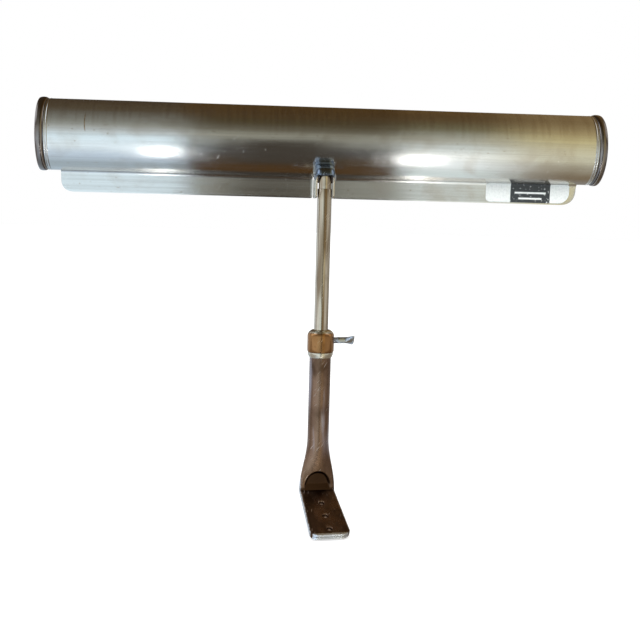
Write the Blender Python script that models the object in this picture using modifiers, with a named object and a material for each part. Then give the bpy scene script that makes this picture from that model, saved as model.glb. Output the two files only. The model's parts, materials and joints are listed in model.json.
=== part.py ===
"""Picture light: a horizontal lamp shade carried on a telescopic arm with a flattened screw-on foot.

The shade lies along X, the arm stands along Z, and the side of the shade that the arm is fixed
to faces -Y. The origin is on the face of the foot that is screwed to the back of a picture frame.
"""
import math

import bmesh
import bpy
from mathutils import Vector

MM = 0.001
GAP = 0.3 * MM                      # running gap between neighbouring pieces

# ---- driving dimensions -------------------------------------------------------------------
SHADE_RADIUS = 25.4 * MM            # outside of the rolled shade
SHADE_SHEET = 0.8 * MM
SHADE_HALF_LENGTH = 198.2 * MM
SHADE_LOW_ANGLE = -88.0             # rim beside the arm, degrees from -Y up over the top
SHADE_FAR_ANGLE = 172.0             # rim on the far side of the opening
LIP_FOLD_RADIUS = 2.5 * MM
LIP_DROP = 40.7 * MM                # from the shade's axis down to the edge of the lip
LIP_HALF_LENGTH = 190.0 * MM
NOTCH_HALF_WIDTH = 7.3 * MM

CAP_RADIUS = 26.4 * MM
CAP_WIDTH = 5.7 * MM
CAP_PLATE = 1.4 * MM
CAP_PLUG_DEPTH = 5.0 * MM

ARM_TO_SHADE = 22.5 * MM            # arm axis to shade axis, along Y
SHADE_HEIGHT = 253.0 * MM           # fold of the foot to shade axis, along Z
PIN_HEIGHT = 227.5 * MM             # fold of the foot to tilt pin

HOOD_OUTER = 7.8 * MM               # dome radius about the tilt pin
HOOD_INNER = 6.5 * MM
HOOD_HALF_WIDTH = 6.9 * MM
HOOD_SLOT_HALF_WIDTH = 5.4 * MM
HOOD_WEB = 1.3 * MM
HOOD_TOP_ANGLE = -41.0              # where the dome meets the shade
HOOD_SHOULDER = 3.8 * MM            # how far the dome's sides are rounded off
HOOD_FRONT = -3.0 * MM              # front edge of the cheeks, from the arm axis
HOOD_BOTTOM = 212.3 * MM

ARM_RADIUS = 5.1 * MM               # inner, sliding tube
ARM_WALL = 0.9 * MM
ARM_TOP = 219.0 * MM
ARM_BOTTOM = 71.9 * MM
FERRULE_BOTTOM = 75.0 * MM
FERRULE_LENGTH = 12.0 * MM
KNUCKLE_HALF_WIDTH = 4.2 * MM
EYE_RADIUS = 5.0 * MM
PIN_RADIUS = 1.5 * MM

OUTER_RADIUS = 7.75 * MM            # outer tube, flattened at its lower end into the foot
OUTER_WALL = 1.4 * MM
OUTER_TOP = 114.5 * MM
COLLAR_RADIUS = 9.7 * MM
COLLAR_TOP = 117.7 * MM
COLLAR_BOTTOM = 101.9 * MM
RING_BOTTOM = 97.5 * MM
SCREW_HEIGHT = 109.9 * MM
SCREW_RADIUS = 2.3 * MM

FOOT_BEND = 65.0                    # degrees from the arm's line
FOOT_TURN = 10.0                    # the foot is turned this far about the arm, towards +X
FOOT_LENGTH = 48.0 * MM
FOOT_HALF_WIDTH = 13.2 * MM
FOOT_END_HALF_WIDTH = 15.0 * MM
FOOT_HALF_THICKNESS = 2.2 * MM
FOOT_HOLES = (14.2 * MM, 28.2 * MM, 41.8 * MM)
FOOT_HOLE_RADIUS = 1.9 * MM
FOOT_CORNER = 6.0 * MM
FOLD_RADIUS = 0.6 * MM              # inside radius of the fold
FOOT_MOUNT = 21.2 * MM              # mounting point, along the foot from the fold

BULB_SHIFT = 4.0 * MM               # bulbs sit this far from the shade axis, away from the opening
SOCKET_RADIUS = 16.5 * MM
SOCKET_BORE = 14.4 * MM
SOCKET_START = 0.9 * MM
SOCKET_FLOOR = 3.5 * MM
SOCKET_END = 33.0 * MM
BASE_RADIUS = 13.1 * MM
BULB_RADIUS = 16.0 * MM
BULB_NECK = 11.9 * MM
BULB_END = 149.5 * MM
BULB_GLASS = 0.8 * MM

RIVET_ANGLES = (-47.0, -76.0)
RIVET_SIDE = 3.0 * MM
WIRE_ANGLE = -61.0
RIVET_RADIUS = 1.2 * MM
BRACKET_OUTER = 24.3 * MM
BRACKET_INNER = 23.2 * MM
SADDLE_ARCH = 17.4 * MM             # top of the gap under the bracket's tab, where the leads pass
SOCKET_SCREW_OFFSET = 9.0 * MM

LABEL_START = 122.0 * MM
LABEL_END = 185.0 * MM

# ---- derived places -----------------------------------------------------------------------
FOLD_CENTRE_Y = -(FOOT_HALF_THICKNESS + FOLD_RADIUS)
BEND = math.radians(FOOT_BEND)
TURN = math.radians(FOOT_TURN)
FOOT_ALONG = Vector((0.0, -math.sin(BEND), -math.cos(BEND)))
FOOT_NORMAL = Vector((0.0, -math.cos(BEND), math.sin(BEND)))
FOOT_START = Vector((0.0, FOLD_CENTRE_Y, 0.0)) - FOOT_NORMAL * FOLD_RADIUS
OPENING_ANGLE = (SHADE_LOW_ANGLE + SHADE_FAR_ANGLE - 360.0) / 2.0


def wall_point(radius, degrees):
    """A (y, z) point at an angle about the shade axis, measured from -Y up over the top."""
    angle = math.radians(degrees)
    return (-radius * math.cos(angle), radius * math.sin(angle))


BULB_PLACE = wall_point(-BULB_SHIFT, OPENING_ANGLE)


def turned_about_arm(point):
    """A point of the foot's own frame after the foot is turned about the arm."""
    return Vector((point.x * math.cos(TURN) - point.y * math.sin(TURN),
                   point.x * math.sin(TURN) + point.y * math.cos(TURN), point.z))


ORIGIN = turned_about_arm(FOOT_START + FOOT_ALONG * FOOT_MOUNT)

# ---- scene and materials ------------------------------------------------------------------
for leftover in list(bpy.data.objects):
    bpy.data.objects.remove(leftover, do_unlink=True)

parts = bpy.data.collections.new("picture_light")
cutters = bpy.data.collections.new("cutters")
bpy.context.scene.collection.children.link(parts)
bpy.context.scene.collection.children.link(cutters)


def material(name, colour, roughness, metallic, alpha=1.0):
    made = bpy.data.materials.new(name)
    made.use_nodes = True
    surface = made.node_tree.nodes["Principled BSDF"]
    surface.inputs["Base Color"].default_value = (*colour, 1.0)
    surface.inputs["Roughness"].default_value = roughness
    surface.inputs["Metallic"].default_value = metallic
    surface.inputs["Alpha"].default_value = alpha
    return made


SATIN_NICKEL = dict(colour=(0.62, 0.60, 0.55), roughness=0.32, metallic=1.0)
PALE_NICKEL = dict(colour=(0.66, 0.62, 0.53), roughness=0.28, metallic=1.0)
BRONZE = dict(colour=(0.33, 0.22, 0.13), roughness=0.38, metallic=1.0)
STEEL = dict(colour=(0.55, 0.57, 0.60), roughness=0.30, metallic=1.0)
BRASS = dict(colour=(0.72, 0.55, 0.28), roughness=0.35, metallic=1.0)
FIBRE = dict(colour=(0.30, 0.08, 0.05), roughness=0.85, metallic=0.0)
NYLON = dict(colour=(0.85, 0.84, 0.78), roughness=0.5, metallic=0.0)
PHENOLIC = dict(colour=(0.03, 0.025, 0.022), roughness=0.4, metallic=0.0)
GLASS = dict(colour=(0.92, 0.94, 0.94), roughness=0.05, metallic=0.0, alpha=0.35)
TUNGSTEN = dict(colour=(0.22, 0.22, 0.23), roughness=0.4, metallic=1.0)
LABEL = dict(colour=(0.88, 0.88, 0.86), roughness=0.5, metallic=0.0)
BLACK_PVC = dict(colour=(0.02, 0.02, 0.02), roughness=0.55, metallic=0.0)
WHITE_PVC = dict(colour=(0.80, 0.80, 0.78), roughness=0.55, metallic=0.0)


# ---- building tools -----------------------------------------------------------------------
def empty(name, location, parent=None, rotation=(0.0, 0.0, 0.0)):
    made = bpy.data.objects.new(name, None)
    parts.objects.link(made)
    made.parent = parent
    made.location = location
    made.rotation_euler = rotation
    return made


def placed(made, parent, location, rotation, finish=None):
    """Link an object as a part, or as a hidden cutter when it has no finish."""
    (parts if finish else cutters).objects.link(made)
    made.parent = parent
    made.location = location
    made.rotation_euler = rotation
    if finish:
        made.data.materials.append(material(made.name, **finish))
    else:
        made.hide_render = True
        made.display_type = "WIRE"
    return made


def finish_mesh(mesh, sharp=35.0):
    mesh.shade_smooth()
    mesh.set_sharp_from_angle(angle=math.radians(sharp))
    return mesh


def mesh_from(work, name):
    bmesh.ops.recalc_face_normals(work, faces=work.faces)
    mesh = bpy.data.meshes.new(name)
    work.to_mesh(mesh)
    work.free()
    return finish_mesh(mesh)


def box(name, parent, low, high, finish=None):
    work = bmesh.new()
    bmesh.ops.create_cube(work, size=1.0)
    low, high = Vector(low), Vector(high)
    for vertex in work.verts:
        vertex.co = Vector(low[i] + (high[i] - low[i]) * (vertex.co[i] + 0.5) for i in range(3))
    made = bpy.data.objects.new(name, mesh_from(work, name))
    return placed(made, parent, (0, 0, 0), (0, 0, 0), finish)


def rod(name, parent, radius, start, end, location=(0, 0, 0), rotation=(0, 0, 0), finish=None, sides=20):
    """A cylinder along the object's own Z, from start to end."""
    work = bmesh.new()
    bmesh.ops.create_cone(work, cap_ends=True, segments=sides, radius1=radius, radius2=radius,
                          depth=end - start)
    bmesh.ops.translate(work, verts=work.verts, vec=(0, 0, (start + end) / 2.0))
    made = bpy.data.objects.new(name, mesh_from(work, name))
    return placed(made, parent, location, rotation, finish)


def turned(name, parent, profile, location=(0, 0, 0), rotation=(0, 0, 0), finish=None, sides=24,
           closed=False):
    """A profile of (radius, height) pairs, outer side running downwards, turned about Z."""
    mesh = bpy.data.meshes.new(name)
    edges = [(i, i + 1) for i in range(len(profile) - 1)]
    if closed:
        edges.append((len(profile) - 1, 0))
    mesh.from_pydata([(radius, 0.0, height) for radius, height in profile], edges, [])
    made = placed(bpy.data.objects.new(name, mesh), parent, location, rotation, finish)
    screw = made.modifiers.new("turn", "SCREW")
    screw.steps = screw.render_steps = sides
    screw.use_merge_vertices = True
    screw.merge_threshold = 0.00001
    screw.use_smooth_shade = True
    return made


def prism(name, parent, outline, thickness, location=(0, 0, 0), rotation=(0, 0, 0), finish=None):
    """A flat outline in the object's own XY, extruded evenly to both sides along its Z."""
    curve = bpy.data.curves.new(name, "CURVE")
    curve.dimensions = "2D"
    curve.fill_mode = "BOTH"
    curve.extrude = thickness / 2.0
    spline = curve.splines.new("POLY")
    spline.points.add(len(outline) - 1)
    for point, (across, up) in zip(spline.points, outline):
        point.co = (across, up, 0.0, 1.0)
    spline.use_cyclic_u = True
    drawn = bpy.data.objects.new(name + "_outline", curve)
    mesh = solid_from_curve(drawn, name)
    return placed(bpy.data.objects.new(name, mesh), parent, location, rotation, finish)


def solid_from_curve(drawn, name):
    """The evaluated mesh of a curve object, welded; the curve is removed."""
    parts.objects.link(drawn)
    bpy.context.view_layer.update()
    graph = bpy.context.evaluated_depsgraph_get()
    mesh = bpy.data.meshes.new_from_object(drawn.evaluated_get(graph))
    mesh.name = name
    curve = drawn.data
    bpy.data.objects.remove(drawn)
    bpy.data.curves.remove(curve)
    work = bmesh.new()
    work.from_mesh(mesh)
    bmesh.ops.remove_doubles(work, verts=work.verts, dist=0.000001)
    bmesh.ops.recalc_face_normals(work, faces=work.faces)
    work.to_mesh(mesh)
    work.free()
    return finish_mesh(mesh)


def wire(name, parent, runs, radius, finish, smooth=True):
    """Round wires, one per list of points, in one object."""
    curve = bpy.data.curves.new(name, "CURVE")
    curve.dimensions = "3D"
    curve.bevel_depth = radius
    curve.bevel_resolution = 1
    curve.use_fill_caps = True
    for run in runs:
        points = smoothed(run) if smooth else run
        spline = curve.splines.new("POLY")
        spline.points.add(len(points) - 1)
        for point, place in zip(spline.points, points):
            point.co = (*place, 1.0)
    drawn = bpy.data.objects.new(name + "_route", curve)
    mesh = solid_from_curve(drawn, name)
    return placed(bpy.data.objects.new(name, mesh), parent, (0, 0, 0), (0, 0, 0), finish)


def smoothed(points, steps=4):
    """Catmull-Rom points through a few places."""
    places = [Vector(p) for p in points]
    padded = [places[0] * 2 - places[1]] + places + [places[-1] * 2 - places[-2]]
    result = []
    for i in range(1, len(padded) - 2):
        a, b, c, d = padded[i - 1:i + 3]
        for step in range(steps):
            t = step / steps
            result.append(0.5 * (2 * b + (c - a) * t + (2 * a - 5 * b + 4 * c - d) * t * t
                                 + (3 * b - a - 3 * c + d) * t ** 3))
    result.append(places[-1])
    return result


def merge_flat_faces(mesh):
    """Joins the flat neighbours of a prism's ends into one face each, so that a wide bevel has room."""
    work = bmesh.new()
    work.from_mesh(mesh)
    bmesh.ops.dissolve_limit(work, angle_limit=math.radians(0.5), verts=[], edges=work.edges)
    work.to_mesh(mesh)
    work.free()


def combine(made, other, operation="DIFFERENCE"):
    step = made.modifiers.new(operation.lower(), "BOOLEAN")
    step.operation = operation
    step.solver = "EXACT"
    step.object = other
    return made


def bevel(made, width, segments=2, angle=40.0):
    step = made.modifiers.new("bevel", "BEVEL")
    step.width = width
    step.segments = segments
    step.limit_method = "ANGLE"
    step.angle_limit = math.radians(angle)
    return made


def arc(centre, radius, start, end, count):
    """Points on an arc; angles in degrees, counter-clockwise from the first axis."""
    angles = [math.radians(start + (end - start) * i / count) for i in range(count + 1)]
    return [(centre[0] + radius * math.cos(a), centre[1] + radius * math.sin(a)) for a in angles]


def wall_arc(radius, start, end, count):
    return [wall_point(radius, start + (end - start) * i / count) for i in range(count + 1)]


def eased_corner(start, corner, end, count=4):
    """A curve from start to end that turns at corner, ends included."""
    points = []
    for i in range(count + 1):
        t = i / count
        points.append(tuple(start[k] * (1 - t) ** 2 + 2 * corner[k] * t * (1 - t) + end[k] * t * t
                            for k in range(2)))
    return points


# Rotations that stand an outline or a turned piece along another axis.
ALONG_X = (math.pi / 2, 0.0, math.pi / 2)      # outline (x, y) becomes (y, z), thickness along X
ALONG_Y = (math.pi / 2, 0.0, 0.0)              # outline (x, y) becomes (x, z), thickness along Y
TO_PLUS_X = (0.0, math.pi / 2, 0.0)
TO_MINUS_X = (0.0, -math.pi / 2, 0.0)


def outward(degrees):
    """Stands a turned piece's own Z along the shade's radius at an angle."""
    return (math.radians(90.0 - degrees), 0.0, 0.0)


# ---- frames of the moving bodies ----------------------------------------------------------
arm_axis = empty("arm_axis", -ORIGIN)
tilt_axis = empty("tilt_axis", (0.0, 0.0, PIN_HEIGHT), arm_axis)
shade_axis = empty("shade_axis", (0.0, ARM_TO_SHADE, SHADE_HEIGHT - PIN_HEIGHT), tilt_axis)
bulb_axis = empty("bulb_axis", (0.0, *BULB_PLACE), shade_axis)
foot_frame = empty("foot_frame", (0, 0, 0), arm_axis, (0.0, 0.0, TURN))
screw_axis = empty("thumbscrew_axis", (0.0, 0.0, SCREW_HEIGHT), foot_frame, TO_PLUS_X)


# ---- lofted pieces: a round section that turns into a flat one ----------------------------
ARC_STEPS = 5
FLAT_STEPS = 7


def section(flatness, round_radius, half_width, half_thickness):
    """Points between a circle (flatness 0) and a flat band with round edges (flatness 1)."""
    band = []
    reach = half_width - half_thickness
    for side in (1, -1):
        for i in range(ARC_STEPS + 1):
            angle = math.radians(-90.0 + 180.0 * i / ARC_STEPS)
            band.append((side * (reach + half_thickness * math.cos(angle)),
                         side * half_thickness * math.sin(angle)))
        for i in range(1, FLAT_STEPS):
            band.append((side * reach * (1 - 2 * i / FLAT_STEPS), side * half_thickness))
    count = len(band)
    circle = []
    for i in range(count):
        angle = 2 * math.pi * (i - ARC_STEPS / 2) / count
        circle.append((round_radius * math.cos(angle), round_radius * math.sin(angle)))
    return [(c[0] + (b[0] - c[0]) * flatness, c[1] + (b[1] - c[1]) * flatness)
            for b, c in zip(band, circle)]


def loft(name, parent, skins, finish, rotation=(0.0, 0.0, 0.0)):
    """Join rings into a solid. One skin is capped at its ends; two are joined end to end."""
    work = bmesh.new()
    rings = [[[work.verts.new(p) for p in ring] for ring in skin] for skin in skins]
    for skin in rings:
        for upper, lower in zip(skin, skin[1:]):
            for i, vertex in enumerate(upper):
                after = (i + 1) % len(upper)
                work.faces.new((vertex, upper[after], lower[after], lower[i]))
    for end in (0, -1):
        if len(rings) == 1:
            work.faces.new(rings[0][end])
            continue
        outside, inside = rings[0][end], rings[1][end]
        for i, vertex in enumerate(outside):
            after = (i + 1) % len(outside)
            work.faces.new((vertex, outside[after], inside[after], inside[i]))
    made = bpy.data.objects.new(name, mesh_from(work, name))
    return placed(made, parent, (0, 0, 0), rotation, finish)


# Height above the fold against how flat the tube is pressed.
FLATTENING = ((38.0, 0.0), (30.0, 0.18), (24.0, 0.32), (20.0, 0.44), (16.0, 0.60), (13.0, 0.74),
              (10.0, 0.85), (7.0, 0.92), (4.5, 0.96), (2.0, 0.99), (0.3, 1.0))
PRESS_TOP = 14.0 * MM               # the front wall is pushed in below this height
PRESS_HALF_WIDTH = 10.5 * MM
PRESS_DEPTH = 1.5 * MM


def pressed_in(across, height):
    """How far the front wall is pushed back, inside an arch above the fold."""
    if not 0.0 < height < PRESS_TOP:
        return 0.0
    reach = PRESS_HALF_WIDTH * math.sqrt(1.0 - (height / PRESS_TOP) ** 2)
    edge = min(max((reach - abs(across)) / (1.5 * MM), 0.0), 1.0)
    return PRESS_DEPTH * edge * min(height / (3.0 * MM), 1.0)


def tube_skin(wall):
    """Rings of the outer tube, from its top to the end of its foot, set in by a wall thickness."""
    rings = []

    def ring_at(origin, back, flatness, half_width, height):
        points = []
        for across, depth in section(flatness, OUTER_RADIUS - wall, half_width - wall,
                                     FOOT_HALF_THICKNESS - wall):
            if depth < 0.0:
                depth += pressed_in(across, height)
            points.append(origin + Vector((across, 0, 0)) + back * depth)
        rings.append(points)

    ring_at(Vector((0, 0, OUTER_TOP)), Vector((0, 1, 0)), 0.0, FOOT_HALF_WIDTH, -1.0)
    for height, flatness in FLATTENING:
        place = Vector((0, 0, height * MM))
        ring_at(place, Vector((0, 1, 0)), flatness, FOOT_HALF_WIDTH, height * MM)
    bend_steps = 5
    for i in range(1, bend_steps + 1):
        angle = BEND * i / bend_steps
        back = Vector((0, math.cos(angle), -math.sin(angle)))
        ring_at(Vector((0, FOLD_CENTRE_Y, 0)) - back * FOLD_CENTRE_Y, back, 1.0, FOOT_HALF_WIDTH, -1.0)
    back = -FOOT_NORMAL
    centre = Vector((0, FOLD_CENTRE_Y, 0)) - back * FOLD_CENTRE_Y
    for share in (0.5, 1.0):
        width = FOOT_HALF_WIDTH + (FOOT_END_HALF_WIDTH - FOOT_HALF_WIDTH) * share
        ring_at(centre + FOOT_ALONG * FOOT_LENGTH * share, back, 1.0, width, -1.0)
    return rings


def make_outer_tube():
    tube = loft("outer_tube", foot_frame, (tube_skin(0.0), tube_skin(OUTER_WALL)), BRONZE)
    for number, distance in enumerate(FOOT_HOLES):
        place = FOOT_START + FOOT_ALONG * distance
        hole = rod("foot_hole_%d" % number, foot_frame, FOOT_HOLE_RADIUS, -8 * MM, 4 * MM, place,
                   (math.pi / 2 - BEND, 0.0, 0.0), sides=12)
        combine(tube, hole)
    end = FOOT_START + FOOT_ALONG * FOOT_LENGTH
    for side in (1, -1):
        inner = side * (FOOT_END_HALF_WIDTH - FOOT_CORNER)
        wide = side * (FOOT_END_HALF_WIDTH + 2 * MM)
        turn = eased_corner((side * FOOT_END_HALF_WIDTH, FOOT_CORNER),
                            (side * FOOT_END_HALF_WIDTH, 0.4 * MM), (inner, 0.0), 4)
        outline = [(wide, FOOT_CORNER)] + turn + [(inner, -2 * MM), (wide, -2 * MM)]
        corner = prism("foot_corner_%d" % side, foot_frame, outline, 20 * MM, end,
                       (math.pi / 2 - BEND, 0.0, 0.0))
        combine(tube, corner)
    opening = rod("tube_screw_hole", screw_axis, SCREW_RADIUS + GAP, 3 * MM, 12 * MM)
    combine(tube, opening)
    return tube


def make_collar():
    bore = OUTER_RADIUS + GAP
    mouth = ARM_RADIUS + GAP
    shoulder = eased_corner((mouth + 1.2 * MM, COLLAR_TOP), (COLLAR_RADIUS - 0.4 * MM, COLLAR_TOP - 1.4 * MM),
                            (COLLAR_RADIUS, COLLAR_TOP - 4.2 * MM), 5)
    profile = [(mouth, COLLAR_TOP)] + shoulder
    profile += [(COLLAR_RADIUS, COLLAR_BOTTOM + 5 * MM), (COLLAR_RADIUS - 0.3 * MM, COLLAR_BOTTOM),
                (bore, COLLAR_BOTTOM), (bore, OUTER_TOP + GAP), (mouth, OUTER_TOP + GAP)]
    collar = turned("collar", foot_frame, profile, finish=BRONZE, sides=28, closed=True)
    combine(collar, rod("collar_screw_hole", screw_axis, SCREW_RADIUS + GAP, 5 * MM, 12 * MM))

    ring_top = COLLAR_BOTTOM - GAP
    ring_radius = COLLAR_RADIUS - 0.5 * MM
    turned("collar_ring", foot_frame,
           [(bore, ring_top), (ring_radius - 0.3 * MM, ring_top), (ring_radius, ring_top - 0.6 * MM),
            (ring_radius - 0.1 * MM, RING_BOTTOM + 1.2 * MM), (ring_radius - 0.7 * MM, RING_BOTTOM),
            (bore, RING_BOTTOM)], finish=PALE_NICKEL, sides=28, closed=True)


def make_thumbscrew():
    pad_start = ARM_RADIUS + GAP
    pad_end = pad_start + 1.6 * MM
    rod("thumbscrew_pad", screw_axis, SCREW_RADIUS - 0.3 * MM, pad_start, pad_end, finish=BRASS, sides=16)
    start = pad_end + GAP
    spade_roll = math.radians(54.0)
    stations = ((start, 0.0), (18.4 * MM, 0.0), (19.6 * MM, 0.25), (21.2 * MM, 0.7), (23.0 * MM, 0.95),
                (24.8 * MM, 1.0))
    rings = []
    for distance, flatness in stations:
        ring = section(flatness, SCREW_RADIUS, 6.2 * MM, 1.2 * MM)
        rings.append([Vector((across, depth, distance)) for across, depth in ring])
    screw = loft("thumbscrew", screw_axis, (rings,), STEEL, (0.0, 0.0, spade_roll))
    bevel(screw, 0.5 * MM, 2, 60.0)


def make_arm():
    inner = ARM_RADIUS - ARM_WALL
    bead = ARM_RADIUS + 0.7 * MM
    bead_low = FERRULE_BOTTOM + FERRULE_LENGTH + GAP
    profile = [(inner, ARM_TOP), (ARM_RADIUS, ARM_TOP), (ARM_RADIUS, bead_low + 1.8 * MM),
               (bead, bead_low + 1.3 * MM), (bead, bead_low + 0.4 * MM), (ARM_RADIUS, bead_low),
               (ARM_RADIUS, ARM_BOTTOM), (inner, ARM_BOTTOM)]
    turned("arm_tube", arm_axis, profile, finish=PALE_NICKEL, sides=28, closed=True)

    sleeve_in = ARM_RADIUS + GAP
    sleeve_out = OUTER_RADIUS - OUTER_WALL - GAP
    turned("guide_ferrule", arm_axis,
           [(sleeve_in, FERRULE_BOTTOM + FERRULE_LENGTH), (sleeve_out, FERRULE_BOTTOM + FERRULE_LENGTH),
            (sleeve_out, FERRULE_BOTTOM), (sleeve_in, FERRULE_BOTTOM)], finish=NYLON, sides=28, closed=True)

    spigot = inner - GAP
    flange = ARM_BOTTOM - GAP
    turned("tube_end_plug", arm_axis,
           [(2.4 * MM, flange + 6 * MM), (spigot, flange + 6 * MM), (spigot, flange),
            (sleeve_out - 0.1 * MM, flange), (sleeve_out - 0.1 * MM, flange - 1.6 * MM),
            (2.4 * MM, flange - 1.6 * MM)], finish=NYLON, sides=24, closed=True)


def make_knuckle():
    spigot = ARM_RADIUS - ARM_WALL - GAP
    seat = ARM_TOP + GAP
    neck = -0.8 * MM
    knuckle = turned("arm_knuckle", tilt_axis,
                     [(0, neck), (ARM_RADIUS, neck), (ARM_RADIUS, seat - PIN_HEIGHT), (spigot, seat - PIN_HEIGHT),
                      (spigot, ARM_TOP - 9 * MM - PIN_HEIGHT), (0, ARM_TOP - 9 * MM - PIN_HEIGHT)],
                     finish=PALE_NICKEL, sides=28)
    eye = rod("knuckle_eye", tilt_axis, EYE_RADIUS, -5.2 * MM, 5.2 * MM, rotation=TO_PLUS_X, sides=24)
    combine(knuckle, eye, "UNION")
    for side in (1, -1):
        edges = sorted((side * KNUCKLE_HALF_WIDTH, side * 9 * MM))
        flat = box("knuckle_flat_%d" % side, tilt_axis, (edges[0], -8 * MM, -6.2 * MM),
                   (edges[1], 8 * MM, 8 * MM))
        combine(knuckle, flat)
    combine(knuckle, rod("knuckle_pin_hole", tilt_axis, PIN_RADIUS + GAP, -9 * MM, 9 * MM,
                         rotation=TO_PLUS_X, sides=16))
    combine(knuckle, rod("knuckle_wire_bore", tilt_axis, 2.4 * MM, -20 * MM, -3.6 * MM, sides=16))
    combine(knuckle, rod("knuckle_wire_exit", tilt_axis, 1.6 * MM, 0.0, 9 * MM, (0, 0, -5.2 * MM),
                         (-math.pi / 2, 0, 0), sides=16))


def make_tilt_pin():
    head_start = HOOD_HALF_WIDTH + GAP
    head_end = head_start + 0.9 * MM
    head = 2.6 * MM
    half = [(0.0, head_end), (head - 0.5 * MM, head_end), (head, head_end - 0.5 * MM), (head, head_start),
            (PIN_RADIUS, head_start)]
    profile = half + [(radius, -height) for radius, height in reversed(half)]
    turned("pivot_pin", tilt_axis, profile, rotation=TO_PLUS_X, finish=STEEL, sides=16)

    start = KNUCKLE_HALF_WIDTH + GAP
    end = HOOD_SLOT_HALF_WIDTH - GAP
    washer = [(PIN_RADIUS + GAP, end), (4.5 * MM, end), (4.5 * MM, start), (PIN_RADIUS + GAP, start)]
    for name, turn in (("right", TO_PLUS_X), ("left", TO_MINUS_X)):
        turned("friction_washer_" + name, tilt_axis, washer, rotation=turn, finish=FIBRE, sides=20,
               closed=True)


def from_pin(point):
    """A (y, z) place about the shade axis, seen from the tilt pin."""
    return (point[0] + ARM_TO_SHADE, point[1] + SHADE_HEIGHT - PIN_HEIGHT)


def make_hood():
    bottom = HOOD_BOTTOM - PIN_HEIGHT
    back = ARM_TO_SHADE + 2.6 * MM
    front_edge = math.radians(168.0)
    dome_front = (HOOD_OUTER * math.cos(front_edge), HOOD_OUTER * math.sin(front_edge))
    outline = arc((0, 0), HOOD_OUTER, 168.0, 84.0, 8)
    outline += [from_pin(p) for p in wall_arc(SHADE_RADIUS - 0.4 * MM, HOOD_TOP_ANGLE, -86.0, 7)]
    outline += [(back, -2.0 * MM), (back, bottom + 1.5 * MM), (back - 1.5 * MM, bottom)]
    outline += eased_corner((HOOD_FRONT + 4 * MM, bottom), (HOOD_FRONT, bottom), (HOOD_FRONT, bottom + 4 * MM))
    outline += eased_corner((HOOD_FRONT, -6.5 * MM), (HOOD_FRONT - 0.4 * MM, -1.5 * MM), dome_front)[:-1]
    hood = prism("swivel_hood", tilt_axis, outline, 2 * HOOD_HALF_WIDTH, rotation=ALONG_X, finish=STEEL)
    merge_flat_faces(hood.data)

    # The round shoulders of the dome: only the outline's top, from its front edge to the shade.
    weights = hood.data.attributes.new("bevel_weight_edge", "FLOAT", "EDGE")
    for edge in hood.data.edges:
        ends = [hood.data.vertices[i].co for i in edge.vertices]
        on_rim = any(abs(math.hypot(p.x, p.y) - HOOD_OUTER) < 0.05 * MM for p in ends)
        on_top = min(p.y for p in ends) > dome_front[1] - 0.05 * MM
        along_rim = abs(ends[0].z - ends[1].z) < 0.01 * MM
        weights.data[edge.index].value = 1.0 if on_rim and on_top and along_rim else 0.0
    step = hood.modifiers.new("round_dome", "BEVEL")
    step.limit_method = "WEIGHT"
    step.width = HOOD_SHOULDER
    step.segments = 3
    step.use_clamp_overlap = False

    # Room for the knuckle and for the arm's swing, open below and towards the notch in the lip.
    cavity = arc((0, 0), HOOD_INNER, 180.0, 75.0, 7)
    cavity += [from_pin(p) for p in wall_arc(SHADE_RADIUS + GAP + HOOD_WEB, -42.0, -84.0, 7)]
    cavity += [(back + 6 * MM, 0.0), (back + 6 * MM, bottom - 5 * MM), (-14 * MM, bottom - 5 * MM),
               (-14 * MM, 0.0)]
    combine(hood, prism("hood_cavity", tilt_axis, cavity, 2 * HOOD_SLOT_HALF_WIDTH, rotation=ALONG_X))
    combine(hood, rod("hood_shade_room", shade_axis, SHADE_RADIUS + GAP, -20 * MM, 20 * MM,
                      rotation=TO_PLUS_X, sides=96))
    combine(hood, rod("hood_pin_hole", tilt_axis, PIN_RADIUS + GAP, -12 * MM, 12 * MM,
                      rotation=TO_PLUS_X, sides=16))
    return hood


# ---- shade --------------------------------------------------------------------------------
def shade_profile():
    """The shade's outer surface in (y, z): far rim, over the top, down to the fold and the lip."""
    points = wall_arc(SHADE_RADIUS, SHADE_FAR_ANGLE, SHADE_LOW_ANGLE, 44)
    start = points[-1]
    centre = (start[0], start[1] - LIP_FOLD_RADIUS)
    points += arc(centre, LIP_FOLD_RADIUS, 90.0, 0.0, 4)[1:]
    points.append((centre[0] + LIP_FOLD_RADIUS, -LIP_DROP))
    return points


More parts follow.
